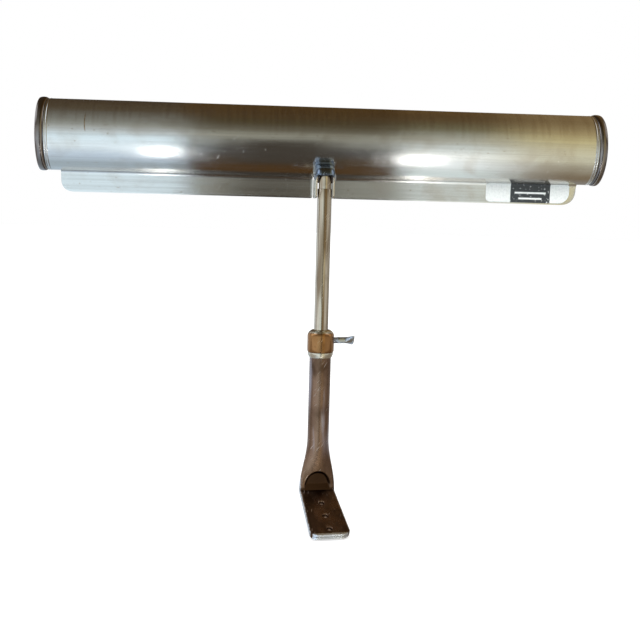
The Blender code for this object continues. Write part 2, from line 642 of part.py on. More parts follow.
def make_shade():
    work = bmesh.new()
    rows = []
    for end in (-SHADE_HALF_LENGTH, SHADE_HALF_LENGTH):
        rows.append([work.verts.new((end, y, z)) for y, z in shade_profile()])
    for i in range(len(rows[0]) - 1):
        work.faces.new((rows[0][i], rows[0][i + 1], rows[1][i + 1], rows[1][i]))
    mesh = bpy.data.meshes.new("shade_shell")
    work.to_mesh(mesh)
    work.free()
    finish_mesh(mesh)
    shell = placed(bpy.data.objects.new("shade_shell", mesh), shade_axis, (0, 0, 0), (0, 0, 0), SATIN_NICKEL)
    sheet = shell.modifiers.new("sheet", "SOLIDIFY")
    sheet.thickness = SHADE_SHEET
    sheet.offset = -1.0

    start = wall_point(SHADE_RADIUS, SHADE_LOW_ANGLE)[0] + 0.2 * MM
    depth = 10 * MM
    top, low = -SHADE_RADIUS + 1.2 * MM, -LIP_DROP - 4 * MM
    for side, radius in ((-1, 9.5 * MM), (1, 12 * MM)):
        beyond = side * (SHADE_HALF_LENGTH + 4 * MM)
        edge = side * LIP_HALF_LENGTH
        turn = eased_corner((edge, -LIP_DROP + radius), (edge, -LIP_DROP), (edge - side * radius, -LIP_DROP), 6)
        outline = [(beyond, top), (edge, top)] + turn + [(edge - side * radius, low), (beyond, low)]
        name = "lip_end_%s" % ("right" if side > 0 else "left")
        combine(shell, prism(name, shade_axis, outline, depth, (0, start + depth / 2, 0), ALONG_Y))
    notch = [(-NOTCH_HALF_WIDTH, top), (-NOTCH_HALF_WIDTH, low), (NOTCH_HALF_WIDTH, low),
             (NOTCH_HALF_WIDTH, top)]
    combine(shell, prism("lip_notch", shade_axis, notch, depth, (0, start + depth / 2, 0), ALONG_Y))
    return shell


def cap_outline(radius, rim_margin, corner):
    """A circle cut off along the opening, with eased corners, in (y, z)."""
    low_end, far_end = SHADE_LOW_ANGLE - rim_margin, SHADE_FAR_ANGLE + rim_margin
    spread = math.degrees(corner / radius)
    low, far = Vector(wall_point(radius, low_end)), Vector(wall_point(radius, far_end))
    chord = (far - low).normalized()
    points = wall_arc(radius, low_end + spread, far_end - spread, 28)
    points += eased_corner(points[-1], far, far - chord * corner, 3)[1:]
    points += eased_corner(low + chord * corner, low, points[0], 3)[:-1]
    return points


def make_end_caps():
    for side, name in ((-1, "left"), (1, "right")):
        bead_start = SHADE_HALF_LENGTH + GAP
        bead_end = bead_start + CAP_WIDTH
        plug_start = bead_start - CAP_PLUG_DEPTH
        cap = prism("end_cap_" + name, shade_axis, cap_outline(CAP_RADIUS, 3.0, 4.5 * MM), CAP_WIDTH,
                    (side * (bead_start + bead_end) / 2, 0, 0), ALONG_X, SATIN_NICKEL)
        bevel(cap, 1.7 * MM, 2)
        inside = SHADE_RADIUS - SHADE_SHEET - GAP
        overlap = 0.5 * MM
        plug = prism("cap_plug_" + name, shade_axis, cap_outline(inside, 0.0, 3.0 * MM),
                     CAP_PLUG_DEPTH + overlap, (side * (plug_start + bead_start + overlap) / 2, 0, 0), ALONG_X)
        combine(cap, plug, "UNION")
        pocket_start = plug_start - 2 * MM
        pocket_end = bead_end - CAP_PLATE
        pocket = prism("cap_pocket_" + name, shade_axis, cap_outline(inside - 1.3 * MM, -4.0, 2.5 * MM),
                       pocket_end - pocket_start, (side * (pocket_start + pocket_end) / 2, 0, 0), ALONG_X)
        combine(cap, pocket)


def make_label():
    lip_face = wall_point(SHADE_RADIUS, SHADE_LOW_ANGLE)[0] + LIP_FOLD_RADIUS
    thickness = 0.25 * MM
    high, low = -SHADE_RADIUS - LIP_FOLD_RADIUS - 0.5 * MM, -LIP_DROP + 1.0 * MM
    corner = 3.0 * MM
    outline = [(LABEL_START, high), (LABEL_START, low), (LABEL_END - 3 * corner, low)]
    outline += eased_corner((LABEL_END - 3 * corner, low), (LABEL_END, low), (LABEL_END, low + 2.4 * corner))
    outline += [(LABEL_END, high)]
    prism("lip_label", shade_axis, outline, thickness, (0, lip_face - GAP - thickness / 2, 0), ALONG_Y, LABEL)


# ---- lamp holders and bulbs ---------------------------------------------------------------
def make_bracket():
    foot = wall_arc(BRACKET_OUTER, -37.0, -86.0, 8) + wall_arc(BRACKET_INNER, -86.0, -37.0, 8)
    bracket = prism("socket_bracket", shade_axis, foot, 14 * MM, rotation=ALONG_X, finish=STEEL)
    centre = BULB_PLACE
    base = wall_point(BRACKET_INNER, WIRE_ANGLE)
    toward = math.degrees(math.atan2(base[1] - centre[1], base[0] - centre[0]))
    buried = BRACKET_INNER + 0.5 * MM
    arch = SADDLE_ARCH
    tab = arc(centre, 13.5 * MM, toward + 48.0, toward + 312.0, 20)
    tab += wall_arc(buried, WIRE_ANGLE + 21.0, WIRE_ANGLE + 10.0, 2)
    tab += [wall_point(arch, WIRE_ANGLE + 13.5), wall_point(arch, WIRE_ANGLE - 13.5)]
    tab += wall_arc(buried, WIRE_ANGLE - 10.0, WIRE_ANGLE - 21.0, 2)
    plate = prism("bracket_tab", shade_axis, tab, 1.2 * MM, rotation=ALONG_X)
    combine(bracket, plate, "UNION")
    for number, side in enumerate((1, -1)):
        hole = rod("bracket_hole_%d" % number, bulb_axis, 1.8 * MM, -3 * MM, 3 * MM,
                   (0, side * SOCKET_SCREW_OFFSET, 0), TO_PLUS_X, sides=12)
        combine(bracket, hole)
    return bracket


def make_wall_fixings(pieces):
    """Rivets and the wire bushing pass through hood, shade and bracket; their holes are cut in all."""
    outside = SHADE_RADIUS + GAP + HOOD_WEB + GAP
    inside = BRACKET_INNER - GAP
    head = 2.0 * MM
    places = [(row, side) for row in zip(("upper", "lower"), RIVET_ANGLES) for side in (-1, 1)]
    for (row, degrees), side in places:
        name = "%s_%s" % (row, "right" if side > 0 else "left")
        where = (side * RIVET_SIDE, 0, 0)
        thick = 0.8 * MM
        profile = [(0, outside + thick), (head * 0.7, outside + thick), (head, outside),
                   (RIVET_RADIUS, outside), (RIVET_RADIUS, inside), (head, inside),
                   (head * 0.7, inside - thick), (0, inside - thick)]
        turned("hood_rivet_" + name, shade_axis, profile, where, outward(degrees), STEEL, sides=10)
        for piece in pieces:
            combine(piece, rod("%s_rivet_%s" % (piece.name, name), shade_axis, RIVET_RADIUS + GAP,
                               18 * MM, 30 * MM, where, outward(degrees), sides=10))
    bushing_out = 2.5 * MM
    bushing_in = 1.8 * MM
    flange = 3.3 * MM
    turned("wire_bushing", shade_axis,
           [(bushing_in, outside), (bushing_out, outside), (bushing_out, inside), (flange, inside),
            (flange, inside - 0.8 * MM), (bushing_in, inside - 0.8 * MM)],
           rotation=outward(WIRE_ANGLE), finish=BLACK_PVC, sides=16, closed=True)
    for piece in pieces:
        combine(piece, rod("%s_wire_hole" % piece.name, shade_axis, bushing_out + GAP, 18 * MM, 30 * MM,
                           rotation=outward(WIRE_ANGLE), sides=16))


def make_sockets():
    for side, name, turn in ((-1, "left", TO_MINUS_X), (1, "right", TO_PLUS_X)):
        floor = SOCKET_START + SOCKET_FLOOR
        edge = 0.6 * MM
        cup = turned("socket_cup_" + name, bulb_axis,
                     [(0, floor), (SOCKET_BORE, floor), (SOCKET_BORE, SOCKET_END),
                      (SOCKET_RADIUS - edge, SOCKET_END), (SOCKET_RADIUS, SOCKET_END - edge),
                      (SOCKET_RADIUS, SOCKET_START + edge), (SOCKET_RADIUS - edge, SOCKET_START),
                      (0, SOCKET_START)], rotation=turn, finish=PHENOLIC, sides=24)
        for number, place in enumerate((1, -1)):
            hole = rod("cup_hole_%s_%d" % (name, number), bulb_axis, 1.8 * MM, -6 * MM, 6 * MM,
                       (side * floor / 2, place * SOCKET_SCREW_OFFSET, 0), TO_PLUS_X, sides=12)
            combine(cup, hole)
        entry = rod("cup_wire_entry_" + name, bulb_axis, 1.2 * MM, 11 * MM, 19 * MM,
                    (side * wire_x(), 0, 0), outward(WIRE_ANGLE), sides=12)
        combine(cup, entry)
        shell_start, shell_end = floor + 1.2 * MM, SOCKET_END - 1.6 * MM
        shell_out = SOCKET_BORE - GAP
        turned("socket_shell_" + name, bulb_axis,
               [(shell_out - 0.5 * MM, shell_end), (shell_out, shell_end), (shell_out, shell_start),
                (shell_out - 0.5 * MM, shell_start)], rotation=turn, finish=BRASS, sides=24, closed=True)


def wire_x():
    return SOCKET_START + SOCKET_FLOOR / 2


def make_socket_fixings():
    inner = SOCKET_START + SOCKET_FLOOR + GAP
    for name, place in (("front", -1), ("back", 1)):
        where = (0, place * SOCKET_SCREW_OFFSET, 0)
        profile = [(0, inner + 2.6 * MM), (1.5 * MM, inner + 2.6 * MM), (1.5 * MM, -inner), (2.8 * MM, -inner),
                   (2.8 * MM, -inner - 0.6 * MM), (2.0 * MM, -inner - 1.4 * MM), (0, -inner - 1.4 * MM)]
        turned("socket_screw_" + name, bulb_axis, profile, where, TO_PLUS_X, STEEL, sides=16)
        nut = rod("socket_nut_" + name, bulb_axis, 3.1 * MM, inner, inner + 2.0 * MM, where, TO_PLUS_X,
                  BRASS, sides=6)
        combine(nut, rod("nut_bore_" + name, bulb_axis, 1.8 * MM, 0.0, 12 * MM, where, TO_PLUS_X, sides=12))


def make_bulb(name, turn):
    """A tubular bulb along the object's own Z: screw base, glass, stem and filament."""
    tip = 6.9 * MM
    base_start, base_end = 10.6 * MM, 34.5 * MM
    skin = 0.6 * MM
    inner = BASE_RADIUS - skin
    turned("bulb_base_" + name, bulb_axis,
           [(0, base_start + 0.8 * MM), (inner - 2 * MM, base_start + 0.8 * MM), (inner, base_start + 3 * MM),
            (inner, base_end), (BASE_RADIUS, base_end), (BASE_RADIUS, base_start + 2 * MM),
            (BASE_RADIUS - 2 * MM, base_start - 0.4 * MM), (5 * MM, tip + 1.4 * MM), (4.2 * MM, tip),
            (0, tip)], rotation=turn, finish=BRASS, sides=24)

    neck_start = base_end - 4 * MM
    shoulder = neck_start + 13 * MM
    outer = [(BULB_NECK, neck_start), (BULB_NECK, neck_start + 5 * MM)]
    outer += eased_corner((BULB_NECK + 0.3 * MM, neck_start + 6.5 * MM), (BULB_RADIUS, shoulder - 2.5 * MM),
                          (BULB_RADIUS, shoulder + 3 * MM), 3)
    nose = BULB_END - 15 * MM
    outer += [(BULB_RADIUS * math.cos(math.radians(a)), nose + 15 * MM * math.sin(math.radians(a)))
              for a in range(0, 90, 18)]
    outer.append((0.0, BULB_END))
    inside = [(max(radius - BULB_GLASS, 0.0), min(height, BULB_END - BULB_GLASS)) for radius, height in outer]
    profile = list(reversed(outer)) + inside
    turned("bulb_glass_" + name, bulb_axis, profile, rotation=turn, finish=GLASS, sides=20)

    stem_top = neck_start + 22 * MM
    turned("bulb_stem_" + name, bulb_axis,
           [(0, stem_top), (1.6 * MM, stem_top), (2.6 * MM, stem_top - 3 * MM), (3.0 * MM, neck_start + 6 * MM),
            (8.6 * MM, neck_start + 1.5 * MM), (8.6 * MM, neck_start + 0.6 * MM), (0, neck_start + 0.6 * MM)],
           rotation=turn, finish=GLASS, sides=16)

    top = stem_top + GAP
    reach = stem_top + 62 * MM
    spread = 5.0 * MM
    frame = empty("filament_axis_" + name, (0, 0, 0), bulb_axis, turn)
    loop = [(1.1 * MM, 0, top), (spread, 0, top + 6 * MM), (spread, 0, reach), (0, 0, reach + 4 * MM),
            (-spread, 0, reach), (-spread, 0, top + 6 * MM), (-1.1 * MM, 0, top)]
    wire("bulb_filament_" + name, frame, [loop], 0.35 * MM, TUNGSTEN, smooth=False)


def make_contacts():
    start = SOCKET_START + SOCKET_FLOOR + GAP
    for side, name in ((-1, "left"), (1, "right")):
        edges = sorted((side * start, side * (start + 0.9 * MM)))
        box("socket_contact_" + name, bulb_axis, (edges[0], -2.5 * MM, -4.0 * MM),
            (edges[1], 2.5 * MM, 4.0 * MM), BRASS)


def make_lead_wires():
    """Two leads from the wire bushing to the lamp holders, in places about the shade axis."""
    radius = 0.7 * MM
    bushing = Vector((0, *wall_point(26.0 * MM, WIRE_ANGLE)))
    inward = -Vector((0, *wall_point(1.0, WIRE_ANGLE)))
    centre = Vector((0, *BULB_PLACE))
    for side, name, finish in ((-1, "black", BLACK_PVC), (1, "white", WHITE_PVC)):
        shift = Vector((side * 0.95 * MM, 0, 0))
        target = centre - inward * 14.0 * MM + Vector((side * wire_x(), 0, 0))
        route = [bushing + shift, bushing + shift + inward * 3.6 * MM,
                 target - inward * 5.0 * MM + Vector((side * 0.1 * MM, 0, 0)), target]
        wire("lead_wire_" + name, shade_axis, [route], radius, finish)


# ---- assembly -----------------------------------------------------------------------------
make_outer_tube()
make_collar()
make_thumbscrew()
make_arm()
make_knuckle()
make_tilt_pin()
hood = make_hood()
shell = make_shade()
make_end_caps()
make_label()
bracket = make_bracket()
make_wall_fixings((hood, shell, bracket))
make_sockets()
make_socket_fixings()
make_contacts()
make_bulb("left", TO_MINUS_X)
make_bulb("right", TO_PLUS_X)
make_lead_wires()
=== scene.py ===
"""Picture light: the finished look of every piece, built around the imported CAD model.

Lengths are written in millimetres and turned into metres by MM when a mesh is made. The packed
joints give the places of the arm's axis, the tilt pin and the thumbscrew; all else is measured from them.
"""
import json
import math

import bmesh
import bpy
from mathutils import Matrix, Vector, noise


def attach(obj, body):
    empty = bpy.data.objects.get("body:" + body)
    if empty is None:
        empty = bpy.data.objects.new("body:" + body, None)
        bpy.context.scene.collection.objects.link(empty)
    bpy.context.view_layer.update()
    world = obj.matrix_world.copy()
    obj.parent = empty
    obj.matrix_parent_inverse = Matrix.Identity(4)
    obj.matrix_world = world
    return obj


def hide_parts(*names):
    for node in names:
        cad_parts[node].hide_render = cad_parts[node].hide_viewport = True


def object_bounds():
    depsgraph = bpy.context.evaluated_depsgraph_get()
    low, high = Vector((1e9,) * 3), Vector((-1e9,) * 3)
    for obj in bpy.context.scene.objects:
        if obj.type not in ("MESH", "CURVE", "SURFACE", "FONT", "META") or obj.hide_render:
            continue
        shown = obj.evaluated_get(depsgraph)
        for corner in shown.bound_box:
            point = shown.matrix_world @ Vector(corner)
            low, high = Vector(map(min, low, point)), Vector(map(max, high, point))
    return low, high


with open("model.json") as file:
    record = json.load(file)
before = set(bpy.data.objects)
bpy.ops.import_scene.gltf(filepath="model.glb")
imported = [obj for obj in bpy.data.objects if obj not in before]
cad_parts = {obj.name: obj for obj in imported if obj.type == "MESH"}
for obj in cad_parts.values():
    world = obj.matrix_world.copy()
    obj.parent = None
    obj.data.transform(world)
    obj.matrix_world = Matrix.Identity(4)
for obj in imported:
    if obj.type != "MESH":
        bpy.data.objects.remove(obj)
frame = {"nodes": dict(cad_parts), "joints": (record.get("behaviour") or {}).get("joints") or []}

cad_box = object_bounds()

MM = 0.001
JOINTS = {joint["name"]: joint for joint in frame["joints"]}

# ---- driving dimensions, in millimetres ----------------------------------------------------
SHADE_RADIUS = 25.4
SHADE_SHEET = 0.8
SHADE_HALF_LENGTH = 198.2
SHADE_LOW_ANGLE = -88.0             # rim beside the arm, degrees from -Y up over the top
SHADE_FAR_ANGLE = 172.0
LIP_FOLD_RADIUS = 2.5
LIP_DROP = 40.7
LIP_HALF_LENGTH = 190.0
LIP_CORNERS = {-1: 9.5, 1: 12.0}
NOTCH_HALF_WIDTH = 7.3              # of the gap in the lip that the hood passes through
NOTCH_CORNER = 1.6
CAP_RADIUS = 26.4
CAP_WIDTH = 5.7
CAP_GAP = 0.3
ARM_TO_SHADE = 22.5
PIN_HEIGHT = 227.5                  # fold of the foot to tilt pin
SHADE_ABOVE_PIN = 25.5

HOOD_OUTER = 7.8
HOOD_INNER = 6.5
HOOD_HALF_WIDTH = 6.9
HOOD_SLOT_HALF_WIDTH = 5.4
HOOD_WEB = 1.3
HOOD_GAP = 0.3                      # from the shade to its saddle's web
BRACKET_RADIUS = 23.2               # of the holders' bracket, inside the shade
HOOD_FRONT = -3.0
HOOD_BOTTOM = -15.2                 # from the tilt pin
KNUCKLE_HALF_WIDTH = 4.2            # between the washers
PIN_HOLE = 1.55

ARM_RADIUS = 5.1
ARM_WALL = 0.9
ARM_TOP = 219.0
ARM_BOTTOM = 71.9
OUTER_RADIUS = 7.75
OUTER_WALL = 1.4
OUTER_TOP = 114.5
COLLAR_RADIUS = 9.7
COLLAR_TOP = 117.7
COLLAR_BOTTOM = 101.9
RING_BOTTOM = 97.5
SCREW_RADIUS = 2.3

FOOT_LENGTH = 48.0
FOOT_HALF_WIDTH = 13.2
FOOT_END_HALF_WIDTH = 15.0
FOOT_HALF_THICKNESS = 2.2
FOOT_HOLES = (14.2, 28.2, 41.8)
FOOT_HOLE_RADIUS = 1.9
FOLD_RADIUS = 0.6
BEND = math.radians(65.0)
PRESS_TOP = 14.0                    # the arch pressed in above the fold
PRESS_HALF_WIDTH = 10.4
PRESS_DEPTH = 2.0

BULB_SHIFT = 4.0
BULB_RADIUS = 16.0
BULB_END = 149.5
BASE_RADIUS = 13.1
SOCKET_RADIUS = 16.5
SOCKET_BORE = 14.4
SOCKET_START = 0.9
SOCKET_FLOOR = 3.5
SOCKET_END = 33.0
THREAD_PITCH = 3.63                 # seven turns to the inch
SHELL_SHEET = 0.35                  # of the threaded brass
WIRE_ANGLE = -61.0
LEAD_START = 26.0                   # from the shade's axis
LEAD_RADIUS = 0.7
RIVET_ANGLES = (-47.0, -76.0)
RIVET_SIDE = 3.0
LABEL_START = 122.0
LABEL_END = 185.0
LABEL_BLOCK = (140.5, 170.5)        # the printed part
LABEL_RULES = ((-32.4, 3.0), (-36.6, 6.0))      # height, and how far they stop inside the block
LABEL_CORNERS = ((3.4, 3.4), (2.5, 8.0))        # top and bottom, at the left and at the right
LABEL_FOLD_ANGLE = 62.0

# ---- frames of the moving bodies -----------------------------------------------------------
PIN = Vector(JOINTS["shade_tilt"]["pos_m"])
SCREW_AXIS = Vector(JOINTS["thumbscrew_turn"]["axis"])
TURN = math.atan2(SCREW_AXIS.y, SCREW_AXIS.x)
OPENING_ANGLE = (SHADE_LOW_ANGLE + SHADE_FAR_ANGLE - 360.0) / 2.0


def wall_point(radius, degrees):
    """A (y, z) point at an angle about the shade axis, measured from -Y up over the top."""
    angle = math.radians(degrees)
    return (-radius * math.cos(angle), radius * math.sin(angle))


BULB_PLACE = wall_point(-BULB_SHIFT, OPENING_ANGLE)
TO_X = {1: Matrix.Rotation(math.pi / 2, 4, "Y"), -1: Matrix.Rotation(-math.pi / 2, 4, "Y")}
AT_PIN = Matrix.Translation(PIN)
AT_SHADE = Matrix.Translation(PIN + Vector((0, ARM_TO_SHADE, SHADE_ABOVE_PIN)) * MM)
AT_BULBS = AT_SHADE @ Matrix.Translation(Vector((0, *BULB_PLACE)) * MM)
AT_ARM = Matrix.Translation(PIN - Vector((0, 0, PIN_HEIGHT)) * MM)
AT_FOOT = AT_ARM @ Matrix.Rotation(TURN, 4, "Z")
SCREW_PLACE = Matrix.Translation(Vector(JOINTS["thumbscrew_turn"]["pos_m"]))
AT_SCREW = SCREW_PLACE @ Matrix.Rotation(TURN, 4, "Z") @ TO_X[1]
SIDES = {"left": -1, "right": 1}


# ---- camera --------------------------------------------------------------------------------
CAMERA_PLACE = (-56.4, -812.4, -46.5)       # from the middle of the shade's axis
CAMERA_YAW = math.radians(4.02)
CAMERA_PITCH = math.radians(5.9)
CAMERA_ROLL = math.radians(-1.55)
CAMERA_LENS = 61.85


def make_camera():
    data = bpy.data.cameras.new("camera")
    data.lens = CAMERA_LENS
    data.sensor_width = 36.0
    data.clip_start = 0.01
    forward = Vector((math.sin(CAMERA_YAW) * math.cos(CAMERA_PITCH),
                      math.cos(CAMERA_YAW) * math.cos(CAMERA_PITCH), -math.sin(CAMERA_PITCH)))
    level = Vector((math.cos(CAMERA_YAW), -math.sin(CAMERA_YAW), 0.0))
    upright = level.cross(forward)
    right = level * math.cos(CAMERA_ROLL) - upright * math.sin(CAMERA_ROLL)
    up = level * math.sin(CAMERA_ROLL) + upright * math.cos(CAMERA_ROLL)
    turn = Matrix((right, up, -forward)).transposed().to_4x4()
    place = AT_SHADE @ Matrix.Translation(Vector(CAMERA_PLACE) * MM) @ turn
    bpy.context.scene.camera = linked("camera", data, place)


# ---- building tools: millimetres in, a mesh in metres out ------------------------------------
def shaded(mesh, sharp):
    mesh.shade_smooth()
    mesh.set_sharp_from_angle(angle=math.radians(sharp))
    return mesh


def finished(work, name, sharp=32.0):
    mesh = bpy.data.meshes.new(name)
    work.to_mesh(mesh)
    work.free()
    return shaded(mesh, sharp)


def mesh_of(work, name, sharp=32.0):
    bmesh.ops.scale(work, vec=(MM, MM, MM), verts=work.verts)
    return finished(work, name, sharp)


def loft(name, rings, joined=False, sharp=32.0):
    """Rings of points made into a skin: the last ring is joined to the first, or both are capped."""
    work = bmesh.new()
    made = [[work.verts.new(p) for p in ring] for ring in rings]
    pairs = list(zip(made, made[1:]))
    if joined:
        pairs.append((made[-1], made[0]))
    for upper, lower in pairs:
        for i, vertex in enumerate(upper):
            after = (i + 1) % len(upper)
            work.faces.new((vertex, upper[after], lower[after], lower[i]))
    if not joined:
        work.faces.new(made[0])
        work.faces.new(made[-1])
    bmesh.ops.recalc_face_normals(work, faces=work.faces)
    return mesh_of(work, name, sharp)


def lathe(name, profile, steps=64, closed=True, swell=None):
    """A (radius, height) profile turned about Z. swell(radius, height, angle) is added to the radius."""
    rings = []
    for radius, height in profile:
        ring = []
        for i in range(steps):
            angle = 2 * math.pi * i / steps
            reach = max(radius + (swell(radius, height, angle) if swell else 0.0), 0.0)
            ring.append((reach * math.cos(angle), reach * math.sin(angle), height))
        rings.append(ring)
    return loft(name, rings, closed)


def plate(name, outline, thickness):
    """A flat outline in XY, extruded evenly to both sides along Z."""
    return loft(name, [[(x, y, side * thickness / 2.0) for x, y in outline] for side in (1, -1)])


def wire_mesh(name, points, radius, sides):
    """A round wire along points, with its ends closed."""
    places = [Vector(p) for p in points]
    rings = []
    across = None
    for i, place in enumerate(places):
        along = (places[min(i + 1, len(places) - 1)] - places[max(i - 1, 0)]).normalized()
        if across is None:
            across = along.orthogonal().normalized()
        across = (across - along * across.dot(along)).normalized()
        other = along.cross(across)
        rings.append([place + (across * math.cos(2 * math.pi * k / sides)
                               + other * math.sin(2 * math.pi * k / sides)) * radius for k in range(sides)])
    return loft(name, rings, sharp=60.0)


def smoothed(points, steps):
    """Catmull-Rom points through a few places."""
    places = [Vector(p) for p in points]
    padded = [places[0] * 2 - places[1]] + places + [places[-1] * 2 - places[-2]]
    result = []
    for i in range(1, len(padded) - 2):
        a, b, c, d = padded[i - 1:i + 3]
        for step in range(steps):
            t = step / steps
            result.append(0.5 * (2 * b + (c - a) * t + (2 * a - 5 * b + 4 * c - d) * t * t
                                 + (3 * b - a - 3 * c + d) * t ** 3))
    return result + [places[-1]]


def arc(centre, radius, start, end, count):
    angles = [math.radians(start + (end - start) * i / count) for i in range(count + 1)]
    return [(centre[0] + radius * math.cos(a), centre[1] + radius * math.sin(a)) for a in angles]


def wall_arc(radius, start, end, count):
    return [wall_point(radius, start + (end - start) * i / count) for i in range(count + 1)]


def eased_corner(start, corner, end, count=8):
    points = []
    for i in range(count + 1):
        t = i / count
        points.append(tuple(start[k] * (1 - t) ** 2 + 2 * corner[k] * t * (1 - t) + end[k] * t * t
                            for k in range(2)))
    return points


def rounded(profile, radius, steps=4):
    """A closed (radius, height) profile with its corners rounded."""
    result = []
    count = len(profile)
    for i, corner in enumerate(profile):
        here = Vector(corner)
        before, after = Vector(profile[i - 1]) - here, Vector(profile[(i + 1) % count]) - here
        reach = min(radius, before.length * 0.45, after.length * 0.45)
        start, end = here + before.normalized() * reach, here + after.normalized() * reach
        result += eased_corner(start, here, end, steps)
    return result


def linked(name, data, place=None):
    """A new object in the scene."""
    made = bpy.data.objects.new(name, data)
    bpy.context.scene.collection.objects.link(made)
    if place is not None:
        made.matrix_world = place
    return made


def changed(target, kind, **settings):
    """Gives an object a modifier."""
    step = target.modifiers.new(kind.lower(), kind)
    for name, value in settings.items():
        setattr(step, name, value)


def piece(name, mesh, place, body, look, node=None):
    """Puts a mesh into the scene as a piece of the object, which may stand for a CAD node."""
    made = linked(name, mesh, place)
    mesh.materials.clear()
    mesh.materials.append(look.material)
    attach(made, body)
    if node:
        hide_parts(node)
    return made


def turned(name, profile, place, body, look, node=None, steps=64, closed=True, swell=None):
    """A piece turned about Z."""
    piece(name, lathe(name, profile, steps, closed, swell), place, body, look, node)


def cut(mesh, cutters, sharp=32.0):
    """The mesh less its cutters, which are (mesh, matrix) pairs in the mesh's own space."""
    target = linked("cut_target", mesh)
    helpers = [linked("cutter", tool, matrix) for tool, matrix in cutters]
    for helper in helpers:
        changed(target, "BOOLEAN", operation="DIFFERENCE", solver="EXACT", object=helper)
    return applied(target, helpers, sharp)


def applied(target, helpers=(), sharp=32.0):
    """The object's mesh as its modifiers leave it. The object and its helpers are removed."""
    bpy.context.view_layer.update()
    graph = bpy.context.evaluated_depsgraph_get()
    result = bpy.data.meshes.new_from_object(target.evaluated_get(graph))
    result.name = target.data.name
    for helper in [target, *helpers]:
        bpy.data.objects.remove(helper)
    return shaded(result, sharp)


def softened(mesh, voxel, rounds):
    """The same solid with its edges and joints rounded, as a pressing's are."""
    target = linked(mesh.name, mesh)
    changed(target, "REMESH", mode="VOXEL", voxel_size=voxel * MM)
    changed(target, "SMOOTH", factor=0.5, iterations=rounds)
    return applied(target, sharp=80.0)


def refined(node, body, look, edge=0.12):
    """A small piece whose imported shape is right: the same shape with eased edges and its own finish."""
    work = bmesh.new()
    work.from_mesh(frame["nodes"][node].data)
    bmesh.ops.remove_doubles(work, verts=work.verts, dist=0.000002)
    bmesh.ops.dissolve_limit(work, angle_limit=math.radians(1.0), verts=work.verts, edges=work.edges)
    made = piece(node + "_fine", finished(work, node + "_fine"), Matrix.Identity(4), body, look, node)
    changed(made, "BEVEL", width=edge * MM, segments=2, limit_method="ANGLE", angle_limit=math.radians(35.0),
            harden_normals=True)


# ---- materials -------------------------------------------------------------------------------
ACROSS = (1.0, 0.0, 0.0)
UP = (0.0, 0.0, 1.0)


def scaled(colour, share, rise=0.0):
    return tuple(min(1.0, c * share + rise) for c in colour)


class Nodes:
    """Short calls for the nodes of one shader. Values may be sockets, numbers or tuples."""

    def new(self, kind, inputs, **settings):
        made = self.tree.nodes.new(kind)
        for name, value in settings.items():
            setattr(made, name, value)
        for name, value in inputs.items():
            if isinstance(value, bpy.types.NodeSocket):
                self.tree.links.new(value, made.inputs[name])
            else:
                made.inputs[name].default_value = value
        return made

    def math(self, operation, *values):
        return self.new("ShaderNodeMath", dict(enumerate(values)), operation=operation).outputs[0]

    def plus(self, a, b):
        return self.math("ADD", a, b)

    def times(self, a, b):
        return self.math("MULTIPLY", a, b)

    def most(self, a, b):
        return self.math("MAXIMUM", a, b)

    def gap(self, a, b):
        return self.math("ABSOLUTE", self.math("SUBTRACT", a, b))

    def ranged(self, value, start, end, low=0.0, high=1.0):
        """Goes smoothly from low to high as the value goes from start to end."""
        return self.new("ShaderNodeMapRange", {"Value": value, "From Min": start, "From Max": end,
                                               "To Min": low, "To Max": high},
                        interpolation_type="SMOOTHSTEP").outputs[0]

    def mix(self, share, first, second, blend="MIX"):
        first, second = [(*c, 1.0) if isinstance(c, tuple) else c for c in (first, second)]
        return self.new("ShaderNodeMix", {0: share, 6: first, 7: second}, data_type="RGBA",
                        blend_type=blend).outputs[2]


class Look(Nodes):
    """A material built on the Principled shader, and the record's slot that it belongs to."""

    def __init__(self, name, slot=None):
        self.slot = slot or name
        self.material = bpy.data.materials.new(name)
        self.material.use_nodes = True
        self.tree = self.material.node_tree
        self.surface = self.tree.nodes["Principled BSDF"]
        self.place = self.new("ShaderNodeTexCoord", {}).outputs["Object"]

    def set(self, **values):
        for name, value in values.items():
            socket = self.surface.inputs[name.replace("_", " ")]
            if isinstance(value, bpy.types.NodeSocket):
                self.tree.links.new(value, socket)
            else:
                socket.default_value = (*value, 1.0) if isinstance(value, tuple) else value

    def noise(self, scale, detail=2.0, turn=(0.0, 0.0, 0.0), distortion=0.0):
        """Noise, in features per metre: one number, or one for each axis."""
        scale = scale if isinstance(scale, tuple) else (scale,) * 3
        place = self.new("ShaderNodeMapping", {"Vector": self.place, "Scale": scale, "Rotation": turn},
                         vector_type="POINT").outputs[0]
        return self.new("ShaderNodeTexNoise", {"Vector": place, "Scale": 1.0, "Detail": detail,
                                               "Distortion": distortion}).outputs[0]

    def dashes(self, size, turn, reach, keep):
        """Short straight scratches, sparse: a few of the points of a stretched Voronoi pattern."""
        place = self.new("ShaderNodeMapping", {"Vector": self.place, "Scale": size, "Rotation": turn},
                         vector_type="TEXTURE").outputs[0]
        cells = self.new("ShaderNodeTexVoronoi", {"Vector": place, "Scale": 1.0}).outputs
        pick = self.new("ShaderNodeSeparateColor", {0: cells["Color"]}).outputs[0]
        chosen = self.ranged(pick, keep, keep + 0.05)
        return self.times(self.ranged(cells["Distance"], reach, reach * 0.5), chosen)

    def along(self, direction):
        """The distance, in metres, of the shaded point along a direction in the object's own space."""
        return self.new("ShaderNodeVectorMath", {0: self.place, 1: direction},
                        operation="DOT_PRODUCT").outputs["Value"]

    def bump(self, height, depth, strength):
        self.set(Normal=self.new("ShaderNodeBump", {"Height": height, "Distance": depth,
                                                    "Strength": strength}).outputs[0])


